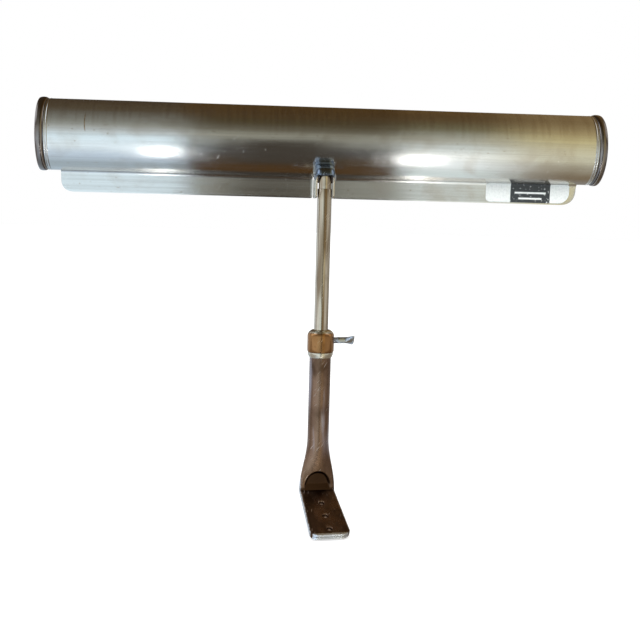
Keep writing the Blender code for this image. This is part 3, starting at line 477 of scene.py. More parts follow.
def brushed(name, slot, colour, tarnish_and_shade_tone, roughness, axis, grain=900.0, spread=0.2, marks=0.5, soil=0.55,
            hatch=0.6, strike=1.0, bare_and_highlight=(), stain_and_painted_shade=None, rubbed_and_sheen=None):
    """Worn plated metal, brushed or drawn along an axis (0, 1 or 2 for X, Y or Z).

    grain is how fine its streaks are and spread how far they draw out a reflection; soil how much of it is
    tarnished; marks how strong its scratches are, hatch how few (0 to 1), strike how long.
    bare_and_highlight lists ends and edges that are cut or worn bright, and edges given painted light: a
    painted highlight down the foot's left edge and a painted reflection over the hood's lower cheeks. Each
    is a direction, where along it that starts and is complete, and a colour. rubbed_and_sheen is the same
    for a stretch of long patches in another colour, on the foot tube partly wear and partly a painted
    reflection. stain_and_painted_shade is a function that gives the share of extra darkening: wiping marks
    and a scratch on the shade, streaks and a painted reflection on the arm, painted shade and patches at the
    foot's fold.
    """
    look = Look(name, slot)
    stretch = [grain] * 3
    stretch[axis] = grain * 0.012
    streaks = look.noise(tuple(stretch), 3.0)
    coarse = look.noise(tuple(s * 0.22 for s in stretch))
    spots = look.noise(420.0)
    scratch = look.dashes((0.0011 * strike, 0.014, 0.014 * strike), (0.0, 0.52, 0.0), 0.15, hatch)
    hair = look.dashes((0.0007, 0.012, 0.022), (0.0, 0.62, 0.3), 0.12, min(0.9, hatch + 0.1))
    nick = look.dashes((0.0010, 0.004, 0.0050), (0.0, -0.35, 0.0), 0.14, 0.93)
    worn = look.times(look.most(scratch, hair), look.ranged(look.noise(28.0, 1.0), 0.32, 0.46, 0.0, marks))
    dirt = look.times(look.ranged(look.noise(38.0, 4.0, distortion=0.6), 0.46, 0.72), soil)
    fleck = look.times(look.ranged(spots, 0.66, 0.78), 0.5)
    shade = look.most(look.most(dirt, fleck), look.times(nick, 0.8))
    # Below, shade is the share that turns the colour towards the darker tone: dirt, flecks and nicks. With
    # the extra darkening it also holds painted shade and a painted reflection on the arm and the foot.
    if stain_and_painted_shade:
        shade = look.most(shade, stain_and_painted_shade(look))
    tone = look.mix(look.ranged(streaks, 0.3, 0.7, 0.0, 0.35), colour, scaled(colour, 0.78))
    tone = look.mix(look.ranged(coarse, 0.35, 0.65, 0.0, 0.25), tone, scaled(colour, 1.12))
    tone = look.mix(shade, tone, tarnish_and_shade_tone)
    # Long patches of another colour: wear, and on the foot tube partly a painted reflection.
    if rubbed_and_sheen:
        direction, start, end, worn_and_sheen_tone = rubbed_and_sheen
        stretch = [130.0] * 3
        stretch[axis] = 16.0
        patches = look.ranged(look.noise(tuple(stretch), 3.0), 0.50, 0.66, 0.0, 0.75)
        patches = look.times(patches, look.ranged(look.along(direction), start * MM, end * MM))
        tone = look.mix(patches, tone, worn_and_sheen_tone)
    tone = look.mix(worn, tone, scaled(colour, 1.3, 0.25))
    for direction, start, end, edge_tone in bare_and_highlight:
        rough_edge = look.plus(look.along(direction), look.ranged(spots, 0.3, 0.7, -0.2 * MM, 0.2 * MM))
        tone = look.mix(look.ranged(rough_edge, start * MM, end * MM), tone, edge_tone)
    rough = look.plus(look.ranged(streaks, 0.25, 0.75, -0.03, 0.03), roughness)
    rough = look.plus(look.plus(rough, look.times(shade, 0.12)), look.times(worn, 0.25))
    tangent = look.new("ShaderNodeTangent", {}, direction_type="RADIAL", axis="XYZ"[axis]).outputs[0]
    look.set(Base_Color=tone, Metallic=1.0, Roughness=rough, Anisotropic=spread, Tangent=tangent)
    look.bump(look.math("SUBTRACT", look.times(streaks, 0.35), look.most(worn, nick)), 0.04 * MM, 0.35)
    return look


def shade_wear(look):
    """Slanting streaks that wiping has left along the top of the shade, and one long curved scratch."""
    streak = look.ranged(look.noise((300.0, 40.0, 12.0), 3.0, (0.0, 0.45, 0.0)), 0.40, 0.66, 0.0, 0.3)
    high = look.ranged(look.along((0.0, -0.35, 0.94)), 9.0 * MM, 22.0 * MM)
    up = look.along(UP)
    bend = look.times(look.math("POWER", look.math("SUBTRACT", up, 8.0 * MM), 2.0), 14.0)
    beside = look.math("SUBTRACT", look.math("SUBTRACT", look.along(ACROSS), SCRATCH_PLACE * MM), bend)
    scratch = look.ranged(look.math("ABSOLUTE", beside), 0.55 * MM, 0.15 * MM)
    reach = look.times(look.ranged(up, 0.5 * MM, 3.5 * MM), look.ranged(up, 15.0 * MM, 12.0 * MM))
    front = look.ranged(look.along((0.0, 1.0, 0.0)), 0.0, -2.0 * MM)
    return look.most(look.times(streak, high), look.times(look.times(scratch, reach), front))


def arm_streaks_and_painted_reflection(look):
    """Dark drawn streaks down the upper arm, and a painted reflection: a dark band down the middle of the
    tube, below the hood.
    """
    streak = look.ranged(look.noise((620.0, 620.0, 7.0)), 0.48, 0.64, 0.0, 0.9)
    broad = look.ranged(look.noise((240.0, 240.0, 12.0)), 0.5, 0.66, 0.0, 0.8)
    # Painted reflection: a dark band down the middle of the tube below the hood, standing for a dark thing
    # nearby mirrored in it.
    front = look.times(look.ranged(look.gap(look.along(ACROSS), 0.4 * MM), 2.1 * MM, 0.7 * MM),
                       look.ranged(look.along(UP), 158.0 * MM, 180.0 * MM))
    return look.most(look.most(streak, broad), look.times(front, 0.9))


def arch_painted_shade_and_patches(look):
    """Painted shade filling the arch pressed above the foot's fold, a painted shadow along the fold's crease,
    and darker patches towards the fold.
    """
    height = look.along(UP)
    across = look.math("DIVIDE", look.along(ACROSS), PRESS_HALF_WIDTH * MM)
    up = look.math("DIVIDE", height, PRESS_TOP * MM)
    reach = look.math("SQRT", look.plus(look.times(across, across), look.times(up, up)))
    # Painted shade inside the pressed arch.
    inside = look.times(look.ranged(reach, 1.02, 0.86), look.ranged(up, -0.1, 0.05))
    # Painted shadow along the crease of the fold.
    fold = look.ranged(look.math("ABSOLUTE", height), 3.0 * MM, 0.5 * MM)
    # Darker patches, more of them towards the fold.
    low = look.times(look.ranged(look.noise((90.0, 90.0, 30.0), 3.0), 0.35, 0.6),
                     look.ranged(height, 42.0 * MM, 8.0 * MM))
    return look.most(look.times(low, 0.7), look.most(inside, fold))


def moulded(name, colour, roughness, coat=0.0, slot=None):
    """Plastic, rubber or fibre with a fine grain and slight soiling."""
    look = Look(name, slot)
    fine = look.noise(1800.0, 3.0)
    soil = look.ranged(look.noise(120.0, 3.0), 0.4, 0.7, 0.0, 0.5)
    scuff = look.times(look.dashes((0.0006, 0.003, 0.003), (0.3, 0.7, 0.2), 0.2, 0.7), 0.3)
    tone = look.mix(scuff, look.mix(soil, colour, scaled(colour, 0.7)), scaled(colour, 1.4, 0.05))
    rough = look.plus(look.ranged(fine, 0.3, 0.7, -0.06, 0.08), roughness)
    look.set(Base_Color=tone, Roughness=rough, Coat_Weight=coat)
    look.bump(fine, 0.03 * MM, 0.4)
    return look


def bulb_glass():
    """Clear glass with a little dust and some smears."""
    look = Look("bulb_glass", "glass")
    smear = look.ranged(look.noise(60.0, 3.0, distortion=1.0), 0.4, 0.7, 0.0, 0.5)
    dust = look.ranged(look.noise(900.0, 3.0), 0.55, 0.75, 0.0, 0.12)
    look.set(Base_Color=look.mix(smear, (0.97, 0.98, 0.98), (0.90, 0.92, 0.92)),
             Roughness=look.plus(dust, 0.02), Transmission_Weight=1.0, IOR=1.12)
    return look


def printed_label():
    """A pale film with a dark printed block in its middle and two thin pale rules across the block."""
    look = Look("printed_label", "label")
    across = look.along(ACROSS)

    def between(start, end, edge):
        return look.times(look.ranged(across, (start - edge) * MM, (start + edge) * MM),
                          look.ranged(across, (end + edge) * MM, (end - edge) * MM))

    start, end = LABEL_BLOCK
    wear = look.noise(700.0, 4.0)
    rules = 0.0
    for height, inset in LABEL_RULES:
        line = look.ranged(look.gap(look.along(UP), height * MM), 0.85 * MM, 0.45 * MM)
        rules = look.most(look.times(line, between(start + inset + 0.2, end - inset - 0.2, 0.2)), rules)
    ink = look.times(between(start, end, 0.2), look.math("SUBTRACT", 1.0, rules))
    ink = look.times(ink, look.ranged(wear, 0.72, 0.6))
    paper = look.mix(look.ranged(wear, 0.35, 0.7, 0.0, 0.6), (0.93, 0.94, 0.92), (0.74, 0.76, 0.74))
    look.set(Base_Color=look.mix(ink, paper, (0.035, 0.04, 0.045)),
             Roughness=look.ranged(wear, 0.3, 0.7, 0.28, 0.5))
    look.bump(wear, 0.03 * MM, 0.3)
    return look


def floor_look():
    """Almost white, and mostly lit by itself, so that only the soft shadow shows."""
    look = Look("floor")
    grain = look.ranged(look.noise(60.0, 3.0), 0.3, 0.7)
    look.set(Base_Color=look.mix(grain, (0.50, 0.50, 0.50), (0.51, 0.51, 0.51)), Roughness=1.0,
             Emission_Color=(1.0, 1.0, 1.0), Emission_Strength=0.62)
    return look


SCRATCH_PLACE = -169.8
CHEEK_PAINTED_REFLECTION = (0.62, 0.54, 0.42)
FOOT_DIRECTION = (0.0, -math.sin(BEND), -math.cos(BEND))
FOOT_WIDENING = (FOOT_END_HALF_WIDTH - FOOT_HALF_WIDTH) / FOOT_LENGTH
# Direction towards the foot's left edge, where a painted highlight goes.
LEFT_EDGE_PAINTED_HIGHLIGHT = (-1.0, FOOT_WIDENING * math.sin(BEND), FOOT_WIDENING * math.cos(BEND))

SHADE_METAL = brushed("satin_nickel", "satin_nickel", (0.62, 0.61, 0.58), (0.34, 0.25, 0.16), 0.15, 0,
                      spread=1.0, marks=0.2, soil=0.25, hatch=0.72, stain_and_painted_shade=shade_wear)
INNER_METAL = brushed("shade_inside", "satin_nickel", (0.66, 0.65, 0.62), (0.48, 0.44, 0.38), 0.34, 0,
                      spread=0.6, soil=0.3, hatch=0.85)
# Painted shade: the end caps are the shade's nickel made much darker, standing for the dark room mirrored in
# their rolled beads.
CAP_METAL_PAINTED_DARK = brushed("cap_nickel_painted_dark", "satin_nickel", (0.22, 0.19, 0.17), (0.12, 0.08, 0.05), 0.13, 0, 300.0, 0.0,
                    marks=0.2, soil=0.4)
ARM_METAL = brushed("pale_nickel", "pale_nickel", (0.58, 0.50, 0.38), (0.17, 0.105, 0.050), 0.14, 2, 1400.0,
                    spread=0.3, soil=0.5, stain_and_painted_shade=arm_streaks_and_painted_reflection)
COLLAR_METAL = brushed("collar_bronze", "bronze", (0.34, 0.17, 0.065), (0.10, 0.042, 0.014), 0.20, 2, 700.0,
                       soil=0.9, bare_and_highlight=[(UP, COLLAR_TOP - 2.6, COLLAR_TOP - 1.4, (0.62, 0.56, 0.43))])
FOOT_METAL = brushed("foot_bronze", "bronze", (0.23, 0.140, 0.090), (0.055, 0.028, 0.014), 0.25, 2, 700.0,
                     spread=0.8, marks=0.95, soil=0.9, hatch=0.05, strike=1.5, stain_and_painted_shade=arch_painted_shade_and_patches,
                     # Lilac-grey patches up the lower tube: partly wear, partly a painted reflection of
                     # bright window light.
                     rubbed_and_sheen=(UP, 22.0, 40.0, (0.44, 0.40, 0.42)),
                     # Painted highlight: the pale grey down the foot's left edge stands for light caught by
                     # that side. The pale end beyond it is the bare cut end.
                     bare_and_highlight=[(LEFT_EDGE_PAINTED_HIGHLIGHT, 12.2, 12.9, (0.60, 0.60, 0.60)),
                           (FOOT_DIRECTION, FOOT_LENGTH + 0.7, FOOT_LENGTH + 1.1, (0.80, 0.82, 0.84))])
# Painted reflection: the hood's blue stands for bluish window light mirrored in its polished dome, given to
# the steel as its colour.
HOOD_METAL = brushed("hood_steel_painted_reflection_blue", "steel", (0.20, 0.25, 0.33), (0.07, 0.07, 0.08), 0.16, 2, 800.0, 0.0,
                     # Painted reflection: the hood's cheeks below the pin are cream, for the pale sliver seen
                     # beside the arm.
                     bare_and_highlight=[((0.0, -1.0, 0.0), -0.8, 1.4, CHEEK_PAINTED_REFLECTION)])
SCREW_STEEL = brushed("screw_steel", "steel", (0.42, 0.45, 0.50), (0.18, 0.17, 0.17), 0.22, 2)
RING_METAL = brushed("ring_nickel", "pale_nickel", (0.66, 0.60, 0.48), (0.36, 0.27, 0.17), 0.22, 2, 600.0)
BRASS = brushed("brass", "brass", (0.76, 0.58, 0.30), (0.38, 0.25, 0.10), 0.26, 2)
TUNGSTEN = brushed("tungsten", "tungsten", (0.30, 0.30, 0.31), (0.16, 0.16, 0.17), 0.35, 2, 4000.0, 0.0)
NYLON = moulded("nylon", (0.84, 0.82, 0.75), 0.45)
FIBRE = moulded("fibre", (0.070, 0.050, 0.040), 0.8)
PHENOLIC = moulded("phenolic", (0.030, 0.024, 0.020), 0.30, 0.3)
BLACK_PVC = moulded("black_pvc", (0.022, 0.022, 0.023), 0.45)
WHITE_PVC = moulded("white_pvc", (0.78, 0.77, 0.73), 0.45)
BLACK_GLASS = moulded("black_glass", (0.012, 0.012, 0.016), 0.12, slot="phenolic")
GLASS = bulb_glass()
LABEL = printed_label()


# ---- shade -----------------------------------------------------------------------------------
def ripple(x, degrees):
    """The slight unevenness of rolled sheet, in millimetres."""
    broad = noise.noise(Vector((x / 55.0, degrees / 38.0, 3.0)))
    return 0.05 * broad + 0.02 * noise.noise(Vector((x / 14.0, degrees / 20.0, 8.0)))


def end_bead(x):
    """The rolled bead just inside each end of the shade."""
    share = (abs(x) - (SHADE_HALF_LENGTH - 2.4)) / 1.8
    return 0.13 * math.sin(2.0 * math.pi * share) if 0.0 < share < 1.0 else 0.0


def lip_edge(x):
    """The height of the lip's lower edge at a place along it, with its corners rounded."""
    side = 1 if x > 0 else -1
    radius = LIP_CORNERS[side]
    from_end = LIP_HALF_LENGTH - abs(x)
    from_notch = abs(x) - NOTCH_HALF_WIDTH
    rise = 0.0
    if from_end < radius:
        rise = radius * (1.0 - math.sqrt(max(from_end, 0.0) / radius)) ** 2
    if from_notch < NOTCH_CORNER:
        rise = NOTCH_CORNER * (1.0 - math.sqrt(max(from_notch, 0.0) / NOTCH_CORNER)) ** 2
    return -LIP_DROP + rise


def lip_lean(x):
    """How far the lip's lower edge leans back, which varies a little along it."""
    return 0.5 + 0.10 * noise.noise(Vector((x / 60.0, 0.0, 5.0)))


def shade_columns():
    """Places along the shade, closer together at its ends and at the corners of its lip."""
    columns = set()
    for i in range(-66, 67):
        columns.add(round((SHADE_HALF_LENGTH - 3.0) * i / 66.0, 3))
    for side in (1, -1):
        for i in range(13):
            columns.add(round(side * (SHADE_HALF_LENGTH - 0.25 * i), 3))
            eased = (i / 12.0) ** 2
            columns.add(round(side * (LIP_HALF_LENGTH - LIP_CORNERS[side] * eased), 3))
            columns.add(round(side * (NOTCH_HALF_WIDTH + NOTCH_CORNER * eased), 3))
    return sorted(columns)


def make_shade():
    """The rolled sheet, and the lip folded down along its front on both sides of the notch."""
    steps, fold_steps, drop_steps = 130, 8, 8
    work = bmesh.new()
    angles = [SHADE_FAR_ANGLE + (SHADE_LOW_ANGLE - SHADE_FAR_ANGLE) * i / steps for i in range(steps + 1)]
    previous, previous_x = None, None
    for x in shade_columns():
        column = []
        for degrees in angles:
            radius = SHADE_RADIUS + ripple(x, degrees) + end_bead(x)
            column.append(work.verts.new((x, *wall_point(radius, degrees))))
        has_lip = NOTCH_HALF_WIDTH - 0.001 <= abs(x) <= LIP_HALF_LENGTH + 0.001
        if has_lip:
            start = column[-1].co
            centre = (start.y, start.z - LIP_FOLD_RADIUS)
            for y, z in arc(centre, LIP_FOLD_RADIUS, 90.0, 0.0, fold_steps)[1:]:
                column.append(work.verts.new((x, y, z)))
            front, top = column[-1].co.yz
            drop = lip_edge(x) - top
            for i in range(1, drop_steps + 1):
                share = i / drop_steps
                column.append(work.verts.new((x, front + lip_lean(x) * share, top + drop * share)))
        if previous:
            across_notch = previous_x < 0 < x or abs(previous_x) < NOTCH_HALF_WIDTH - 0.001
            count = steps if across_notch else min(len(previous), len(column)) - 1
            for i in range(count):
                work.faces.new((previous[i], previous[i + 1], column[i + 1], column[i]))
        previous, previous_x = column, x
    mesh = mesh_of(work, "shade_sheet", 40.0)
    shade = piece("shade_sheet", mesh, AT_SHADE, "shade", SHADE_METAL, "shade_shell")
    mesh.materials.append(INNER_METAL.material)
    changed(shade, "SOLIDIFY", thickness=SHADE_SHEET * MM, offset=-1.0, material_offset=1,
            use_even_offset=True)
    changed(shade, "BEVEL", width=0.22 * MM, segments=2, limit_method="ANGLE", angle_limit=math.radians(60.0))


def cap_outline(radius, rim_margin, corner):
    """A circle cut off along the opening, with eased corners, in (y, z)."""
    low_end, far_end = SHADE_LOW_ANGLE - rim_margin, SHADE_FAR_ANGLE + rim_margin
    spread = math.degrees(corner / radius)
    low, far = Vector(wall_point(radius, low_end)), Vector(wall_point(radius, far_end))
    chord = (far - low).normalized()
    points = wall_arc(radius, low_end + spread, far_end - spread, 72)
    points += eased_corner(points[-1], far, far - chord * corner)[1:]
    straight = (far - low).length - 2 * corner
    points += [tuple(far - chord * (corner + straight * i / 12)) for i in range(1, 12)]
    points += eased_corner(low + chord * corner, low, points[0])[:-1]
    return points


def make_end_caps():
    """Spun end caps: a plug inside the shade, a rolled bead over its edge and a shallow dished face."""
    start = SHADE_HALF_LENGTH + CAP_GAP
    end = start + CAP_WIDTH
    inside = SHADE_RADIUS - SHADE_SHEET - CAP_GAP
    bead = CAP_WIDTH / 2.0
    for side_name, side in SIDES.items():
        name = "end_cap_%s_spun" % side_name
        stations = [(start + 2.6, inside - 5.0), (start + 2.6, inside - 1.6), (start + 1.6, inside - 1.0),
                    (start - 5.0, inside - 0.8), (start - 5.0, inside), (start - 0.1, inside),
                    (start, inside + 0.2), (start, CAP_RADIUS - 1.3)]
        for i in range(1, 15):
            angle = math.pi * i / 15
            stations.append((start + bead * (1.0 - math.cos(angle)),
                             CAP_RADIUS - 1.3 + 1.3 * math.sin(angle) ** 0.8))
        stations += [(end, CAP_RADIUS - 1.4), (end - 0.25, CAP_RADIUS - 2.1), (end - 1.0, CAP_RADIUS - 2.7),
                     (end - 1.15, CAP_RADIUS - 3.6), (end - 0.9, CAP_RADIUS - 9.0),
                     (end - 0.7, CAP_RADIUS - 16.0), (end - 0.6, CAP_RADIUS - 22.0)]
        rings = []
        for x, radius in stations:
            margin = 3.0 if radius > inside else 1.0
            outline = cap_outline(radius, margin, 4.5 * radius / CAP_RADIUS)
            rings.append([(side * x, y, z) for y, z in outline])
        piece(name, loft(name, rings, sharp=40.0), AT_SHADE, "shade", CAP_METAL_PAINTED_DARK, "end_cap_" + side_name)


def corner_inset(radius, distance):
    """How far a rounded corner takes an edge in, at a distance from the side."""
    if distance >= radius:
        return 0.0
    return radius - math.sqrt(max(radius ** 2 - (radius - distance) ** 2, 0.0))


def make_label():
    """A thin printed film with rounded corners, stuck over the fold and down the front of the lip."""
    gap, film = 0.06, 0.12
    bend = LIP_FOLD_RADIUS - gap
    curve = math.radians(LABEL_FOLD_ANGLE) * bend       # how much of it is on the fold
    rim_y, rim_z = wall_point(SHADE_RADIUS, SHADE_LOW_ANGLE)
    fold_y, fold_z = rim_y, rim_z - LIP_FOLD_RADIUS
    low = fold_z + LIP_DROP - 1.0
    work = bmesh.new()
    previous = None
    for i in range(61):
        x = LABEL_START + (LABEL_END - LABEL_START) * 0.5 * (1.0 - math.cos(math.pi * i / 60))
        top, bottom = curve, -low
        for distance, (upper, lower) in zip((x - LABEL_START, LABEL_END - x), LABEL_CORNERS):
            top -= corner_inset(upper, distance)
            bottom += corner_inset(lower, distance)
        column = []
        for row in range(19):
            along = top + (bottom - top) * row / 18
            lean = lip_lean(x) * max(0.0, -along) / (low + 1.0)
            angle = max(0.0, along) / bend
            y = fold_y + bend * math.cos(angle) + lean
            z = fold_z + (bend * math.sin(angle) if along > 0.0 else along)
            column.append(work.verts.new((x, y, z)))
        if previous:
            for row in range(18):
                work.faces.new((previous[row], previous[row + 1], column[row + 1], column[row]))
        previous = column
    label = piece("lip_label_print", mesh_of(work, "lip_label_print"), AT_SHADE, "shade", LABEL, "lip_label")
    changed(label, "SOLIDIFY", thickness=film * MM, offset=1.0)


# ---- hood, knuckle and pin -------------------------------------------------------------------
def from_pin(point):
    return (point[0] + ARM_TO_SHADE, point[1] + SHADE_ABOVE_PIN)


STAND = Matrix(((0, 0, 1, 0), (1, 0, 0, 0), (0, 1, 0, 0), (0, 0, 0, 1)))     # outline (x, y) to (y, z)


def make_hood():
    """A pressed and brazed steel hood: a domed front over the arm, two cheeks and a saddle on the shade."""
    back = ARM_TO_SHADE + 2.6
    front = math.radians(168.0)
    dome_front = (HOOD_OUTER * math.cos(front), HOOD_OUTER * math.sin(front))
    outline = arc((0, 0), HOOD_OUTER, 168.0, 84.0, 20)
    outline += [from_pin(p) for p in wall_arc(SHADE_RADIUS - 0.4, -41.0, -86.0, 14)]
    outline += [(back, -2.0), (back, HOOD_BOTTOM + 1.5), (back - 1.5, HOOD_BOTTOM)]
    outline += eased_corner((HOOD_FRONT + 4, HOOD_BOTTOM), (HOOD_FRONT, HOOD_BOTTOM),
                            (HOOD_FRONT, HOOD_BOTTOM + 4))
    outline += eased_corner((HOOD_FRONT, -6.5), (HOOD_FRONT - 0.4, -1.5), dome_front)[:-1]
    body = linked("hood_blank", plate("hood_blank", outline, 2 * HOOD_HALF_WIDTH))
    weights = body.data.attributes.new("bevel_weight_edge", "FLOAT", "EDGE")
    for edge in body.data.edges:
        ends = [body.data.vertices[i].co / MM for i in edge.vertices]
        on_rim = any(abs(math.hypot(p.x, p.y) - HOOD_OUTER) < 0.05 for p in ends)
        on_top = min(p.y for p in ends) > dome_front[1] - 0.05
        level = abs(ends[0].z - ends[1].z) < 0.01
        weights.data[edge.index].value = 1.0 if on_rim and on_top and level else 0.0
    changed(body, "BEVEL", limit_method="WEIGHT", width=3.8 * MM, segments=8, use_clamp_overlap=False)
    body = applied(body)

    cavity = arc((0, 0), HOOD_INNER, 180.0, 75.0, 20)
    cavity += [from_pin(p) for p in wall_arc(SHADE_RADIUS + HOOD_GAP + HOOD_WEB, -42.0, -84.0, 14)]
    cavity += [(back + 6, 0.0), (back + 6, HOOD_BOTTOM - 5), (-14.0, HOOD_BOTTOM - 5), (-14.0, 0.0)]
    saddle = SHADE_RADIUS + 0.15
    seat = lathe("hood_seat", [(saddle, 20.0), (saddle, -20.0)], 240, closed=False)
    seat_place = Matrix.Translation(Vector((*from_pin((0.0, 0.0)), 0.0)) * MM)
    hole = lathe("hood_hole", [(PIN_HOLE, 12.0), (PIN_HOLE, -12.0)], 32, closed=False)
    mesh = cut(body, [(plate("hood_cavity", cavity, 2 * HOOD_SLOT_HALF_WIDTH), Matrix.Identity(4)),
                      (seat, seat_place), (hole, Matrix.Identity(4))])
    piece("hood_pressing", softened(mesh, 0.28, 5), AT_PIN @ STAND, "shade", HOOD_METAL, "swivel_hood")


def make_knuckle():
    """A turned plug in the top of the arm, with a bullet's nose and a flat on each side for the washers."""
    plug = [(0.01, -20.5), (3.6, -20.5), (4.12, -20.0), (4.12, -8.6), (5.0, -8.4), (5.05, -7.9),
            (5.05, -4.0), (5.0, -1.5), (4.92, 0.0), (4.70, 1.5), (4.25, 2.6), (3.5, 3.6), (2.4, 4.4),
            (1.2, 4.8), (0.01, 4.9)]
    slab = lathe("slab", [(12.0, 9.0), (12.0, KNUCKLE_HALF_WIDTH)], 32, closed=False)
    hole = lathe("bore", [(PIN_HOLE, 8.0), (PIN_HOLE, -8.0)], 32, closed=False)
    mesh = cut(lathe("knuckle_turned", plug, 64, closed=False),
               [(slab, TO_X[1]), (slab.copy(), TO_X[-1]), (hole, TO_X[1])])
    piece("knuckle_turned", mesh, AT_PIN, "arm", ARM_METAL, "arm_knuckle")


def make_tilt_pin():
    """A shouldered pin with domed, slightly dimpled heads."""
    start, crown, head, shank = HOOD_HALF_WIDTH + 0.1, 1.1, 2.6, PIN_HOLE - 0.05
    half = [(0.0, start + crown * 0.72), (0.5, start + crown * 0.80), (0.9, start + crown)]
    half += [(head * math.sin(math.radians(a)), start + crown * math.cos(math.radians(a)) ** 0.7)
             for a in (35, 50, 65, 78, 86)]
    half += [(head, start + 0.05), (head - 0.05, start), (shank, start)]
    profile = half + [(radius, -height) for radius, height in reversed(half)]
    turned("tilt_pin_headed", profile, AT_PIN @ TO_X[1], "shade", SCREW_STEEL, "pivot_pin", 40, False)


# ---- arm, collar and thumbscrew ---------------------------------------------------------------
def make_arm():
    """A drawn tube with a bead rolled round it, above the plug in its end."""
    inner = ARM_RADIUS - ARM_WALL
    low = 87.3
    profile = [(inner, ARM_TOP), (ARM_RADIUS, ARM_TOP)]
    profile += [(ARM_RADIUS, ARM_TOP - 8.0 * i) for i in range(1, 16)]
    profile += [(ARM_RADIUS, low + 1.9)]
    profile += [(ARM_RADIUS + 0.7 * math.sin(math.pi * i / 8), low + 1.9 - 1.8 * i / 8) for i in range(1, 8)]
    profile += [(ARM_RADIUS, low), (ARM_RADIUS, ARM_BOTTOM), (inner, ARM_BOTTOM)]
    turned("arm_tube_drawn", rounded(profile, 0.15, 2), AT_ARM, "arm", ARM_METAL, "arm_tube", 72)
    refined("tube_end_plug", "arm", NYLON)
    refined("guide_ferrule", "guide", NYLON, 0.2)


def make_collar():
    """The collar over the top of the outer tube, bored for the thumbscrew, and the rolled ring below it."""
    bore = OUTER_RADIUS + 0.12
    mouth = ARM_RADIUS + 0.2
    profile = [(mouth, COLLAR_TOP - 0.3), (mouth + 0.3, COLLAR_TOP)]
    profile += eased_corner((mouth + 1.2, COLLAR_TOP), (COLLAR_RADIUS - 0.4, COLLAR_TOP - 1.4),
                            (COLLAR_RADIUS, COLLAR_TOP - 4.2), 14)
    profile += [(COLLAR_RADIUS, COLLAR_BOTTOM + 5 - i) for i in range(4)]
    profile += [(COLLAR_RADIUS - 0.1, COLLAR_BOTTOM + 0.6), (COLLAR_RADIUS - 0.35, COLLAR_BOTTOM),
                (bore, COLLAR_BOTTOM), (bore, OUTER_TOP + 0.2), (mouth, OUTER_TOP + 0.2)]
    body = lathe("collar_turned", profile, 96)
    hole = lathe("collar_hole", [(SCREW_RADIUS + 0.12, 14.0), (SCREW_RADIUS + 0.12, 5.0)], 40, closed=False)
    chamfer = lathe("collar_chamfer", [(SCREW_RADIUS + 1.3, 10.4), (SCREW_RADIUS, 9.0)], 40, closed=False)
    to_hole = AT_FOOT.inverted() @ AT_SCREW
    mesh = cut(body, [(hole, to_hole), (chamfer, to_hole)])
    piece("collar_turned", mesh, AT_FOOT, "mount_arm", COLLAR_METAL, "collar")

    top = COLLAR_BOTTOM - 0.1
    radius = COLLAR_RADIUS - 0.5
    ring = [(bore, top), (radius - 0.5, top), (radius - 0.05, top - 0.5), (radius, top - 1.1),
            (radius - 0.15, top - 1.9), (radius - 0.5, top - 2.9), (radius - 0.9, top - 3.7),
            (radius - 1.15, RING_BOTTOM + 0.1), (radius - 1.3, RING_BOTTOM), (bore, RING_BOTTOM)]
    turned("collar_ring_rolled", ring, AT_FOOT, "mount_arm", RING_METAL, "collar_ring", 96)


def make_thumbscrew():
    """A cut thread near its tip, a plain shank, and an end hammered into a slanted spade."""
    start, thread_end, spade_start = 7.3, 12.8, 17.2
    pitch, depth = 0.8, 0.22
    wide, thin = 6.2 / SCREW_RADIUS - 1.0, 1.25 / SCREW_RADIUS - 1.0      # how the spade's half sides differ
    rings = []
    steps = 48
    stations = [start + (thread_end - start) * i / 90 for i in range(91)]
    stations += [15.8, 16.6] + [spade_start + 7.4 * i / 16 for i in range(17)]
    for distance in stations:
        spread = max(0.0, (distance - spade_start) / 7.6)
        flat = min(1.0, spread * spread * (3 - 2 * spread) * 1.05)
        ring = []
        for i in range(steps):
            angle = 2 * math.pi * i / steps
            radius = SCREW_RADIUS
            if distance < thread_end:
                turn = (distance / pitch - i / steps) % 1.0
                radius -= depth * (1.0 - abs(2.0 * turn - 1.0)) * min(1.0, (thread_end - distance) / 0.8)
            if distance < start + 0.5:
                radius -= 0.4 * (start + 0.5 - distance) / 0.5
            x = radius * math.cos(angle) * (1.0 + flat * wide)
            y = radius * math.sin(angle) * (1.0 + flat * thin)
            ring.append((x, y, distance + 0.12 * x * flat))
        rings.append(ring)
    last = rings[-1]
    for share, rise in ((0.93, 0.16), (0.8, 0.2)):
        rings.append([(x * share, y * share, z + rise - 0.12 * x * (1 - share)) for x, y, z in last])
    roll = Matrix.Rotation(math.radians(54.0), 4, "Z")
    mesh = loft("thumbscrew_forged", rings, sharp=50.0)
    piece("thumbscrew_forged", mesh, AT_SCREW @ roll, "screw", SCREW_STEEL, "thumbscrew")
    refined("thumbscrew_pad", "screw_tip", BRASS)


# ---- outer tube, pressed flat and bent into the foot -------------------------------------------
FLATTEN_TOP = 38.0
FOLD_CENTRE_Y = -(FOOT_HALF_THICKNESS + FOLD_RADIUS)
FOOT_ALONG = Vector(FOOT_DIRECTION)
FOOT_NORMAL = Vector((0.0, -math.cos(BEND), math.sin(BEND)))
FOOT_START = Vector((0.0, FOLD_CENTRE_Y, 0.0)) - FOOT_NORMAL * FOLD_RADIUS


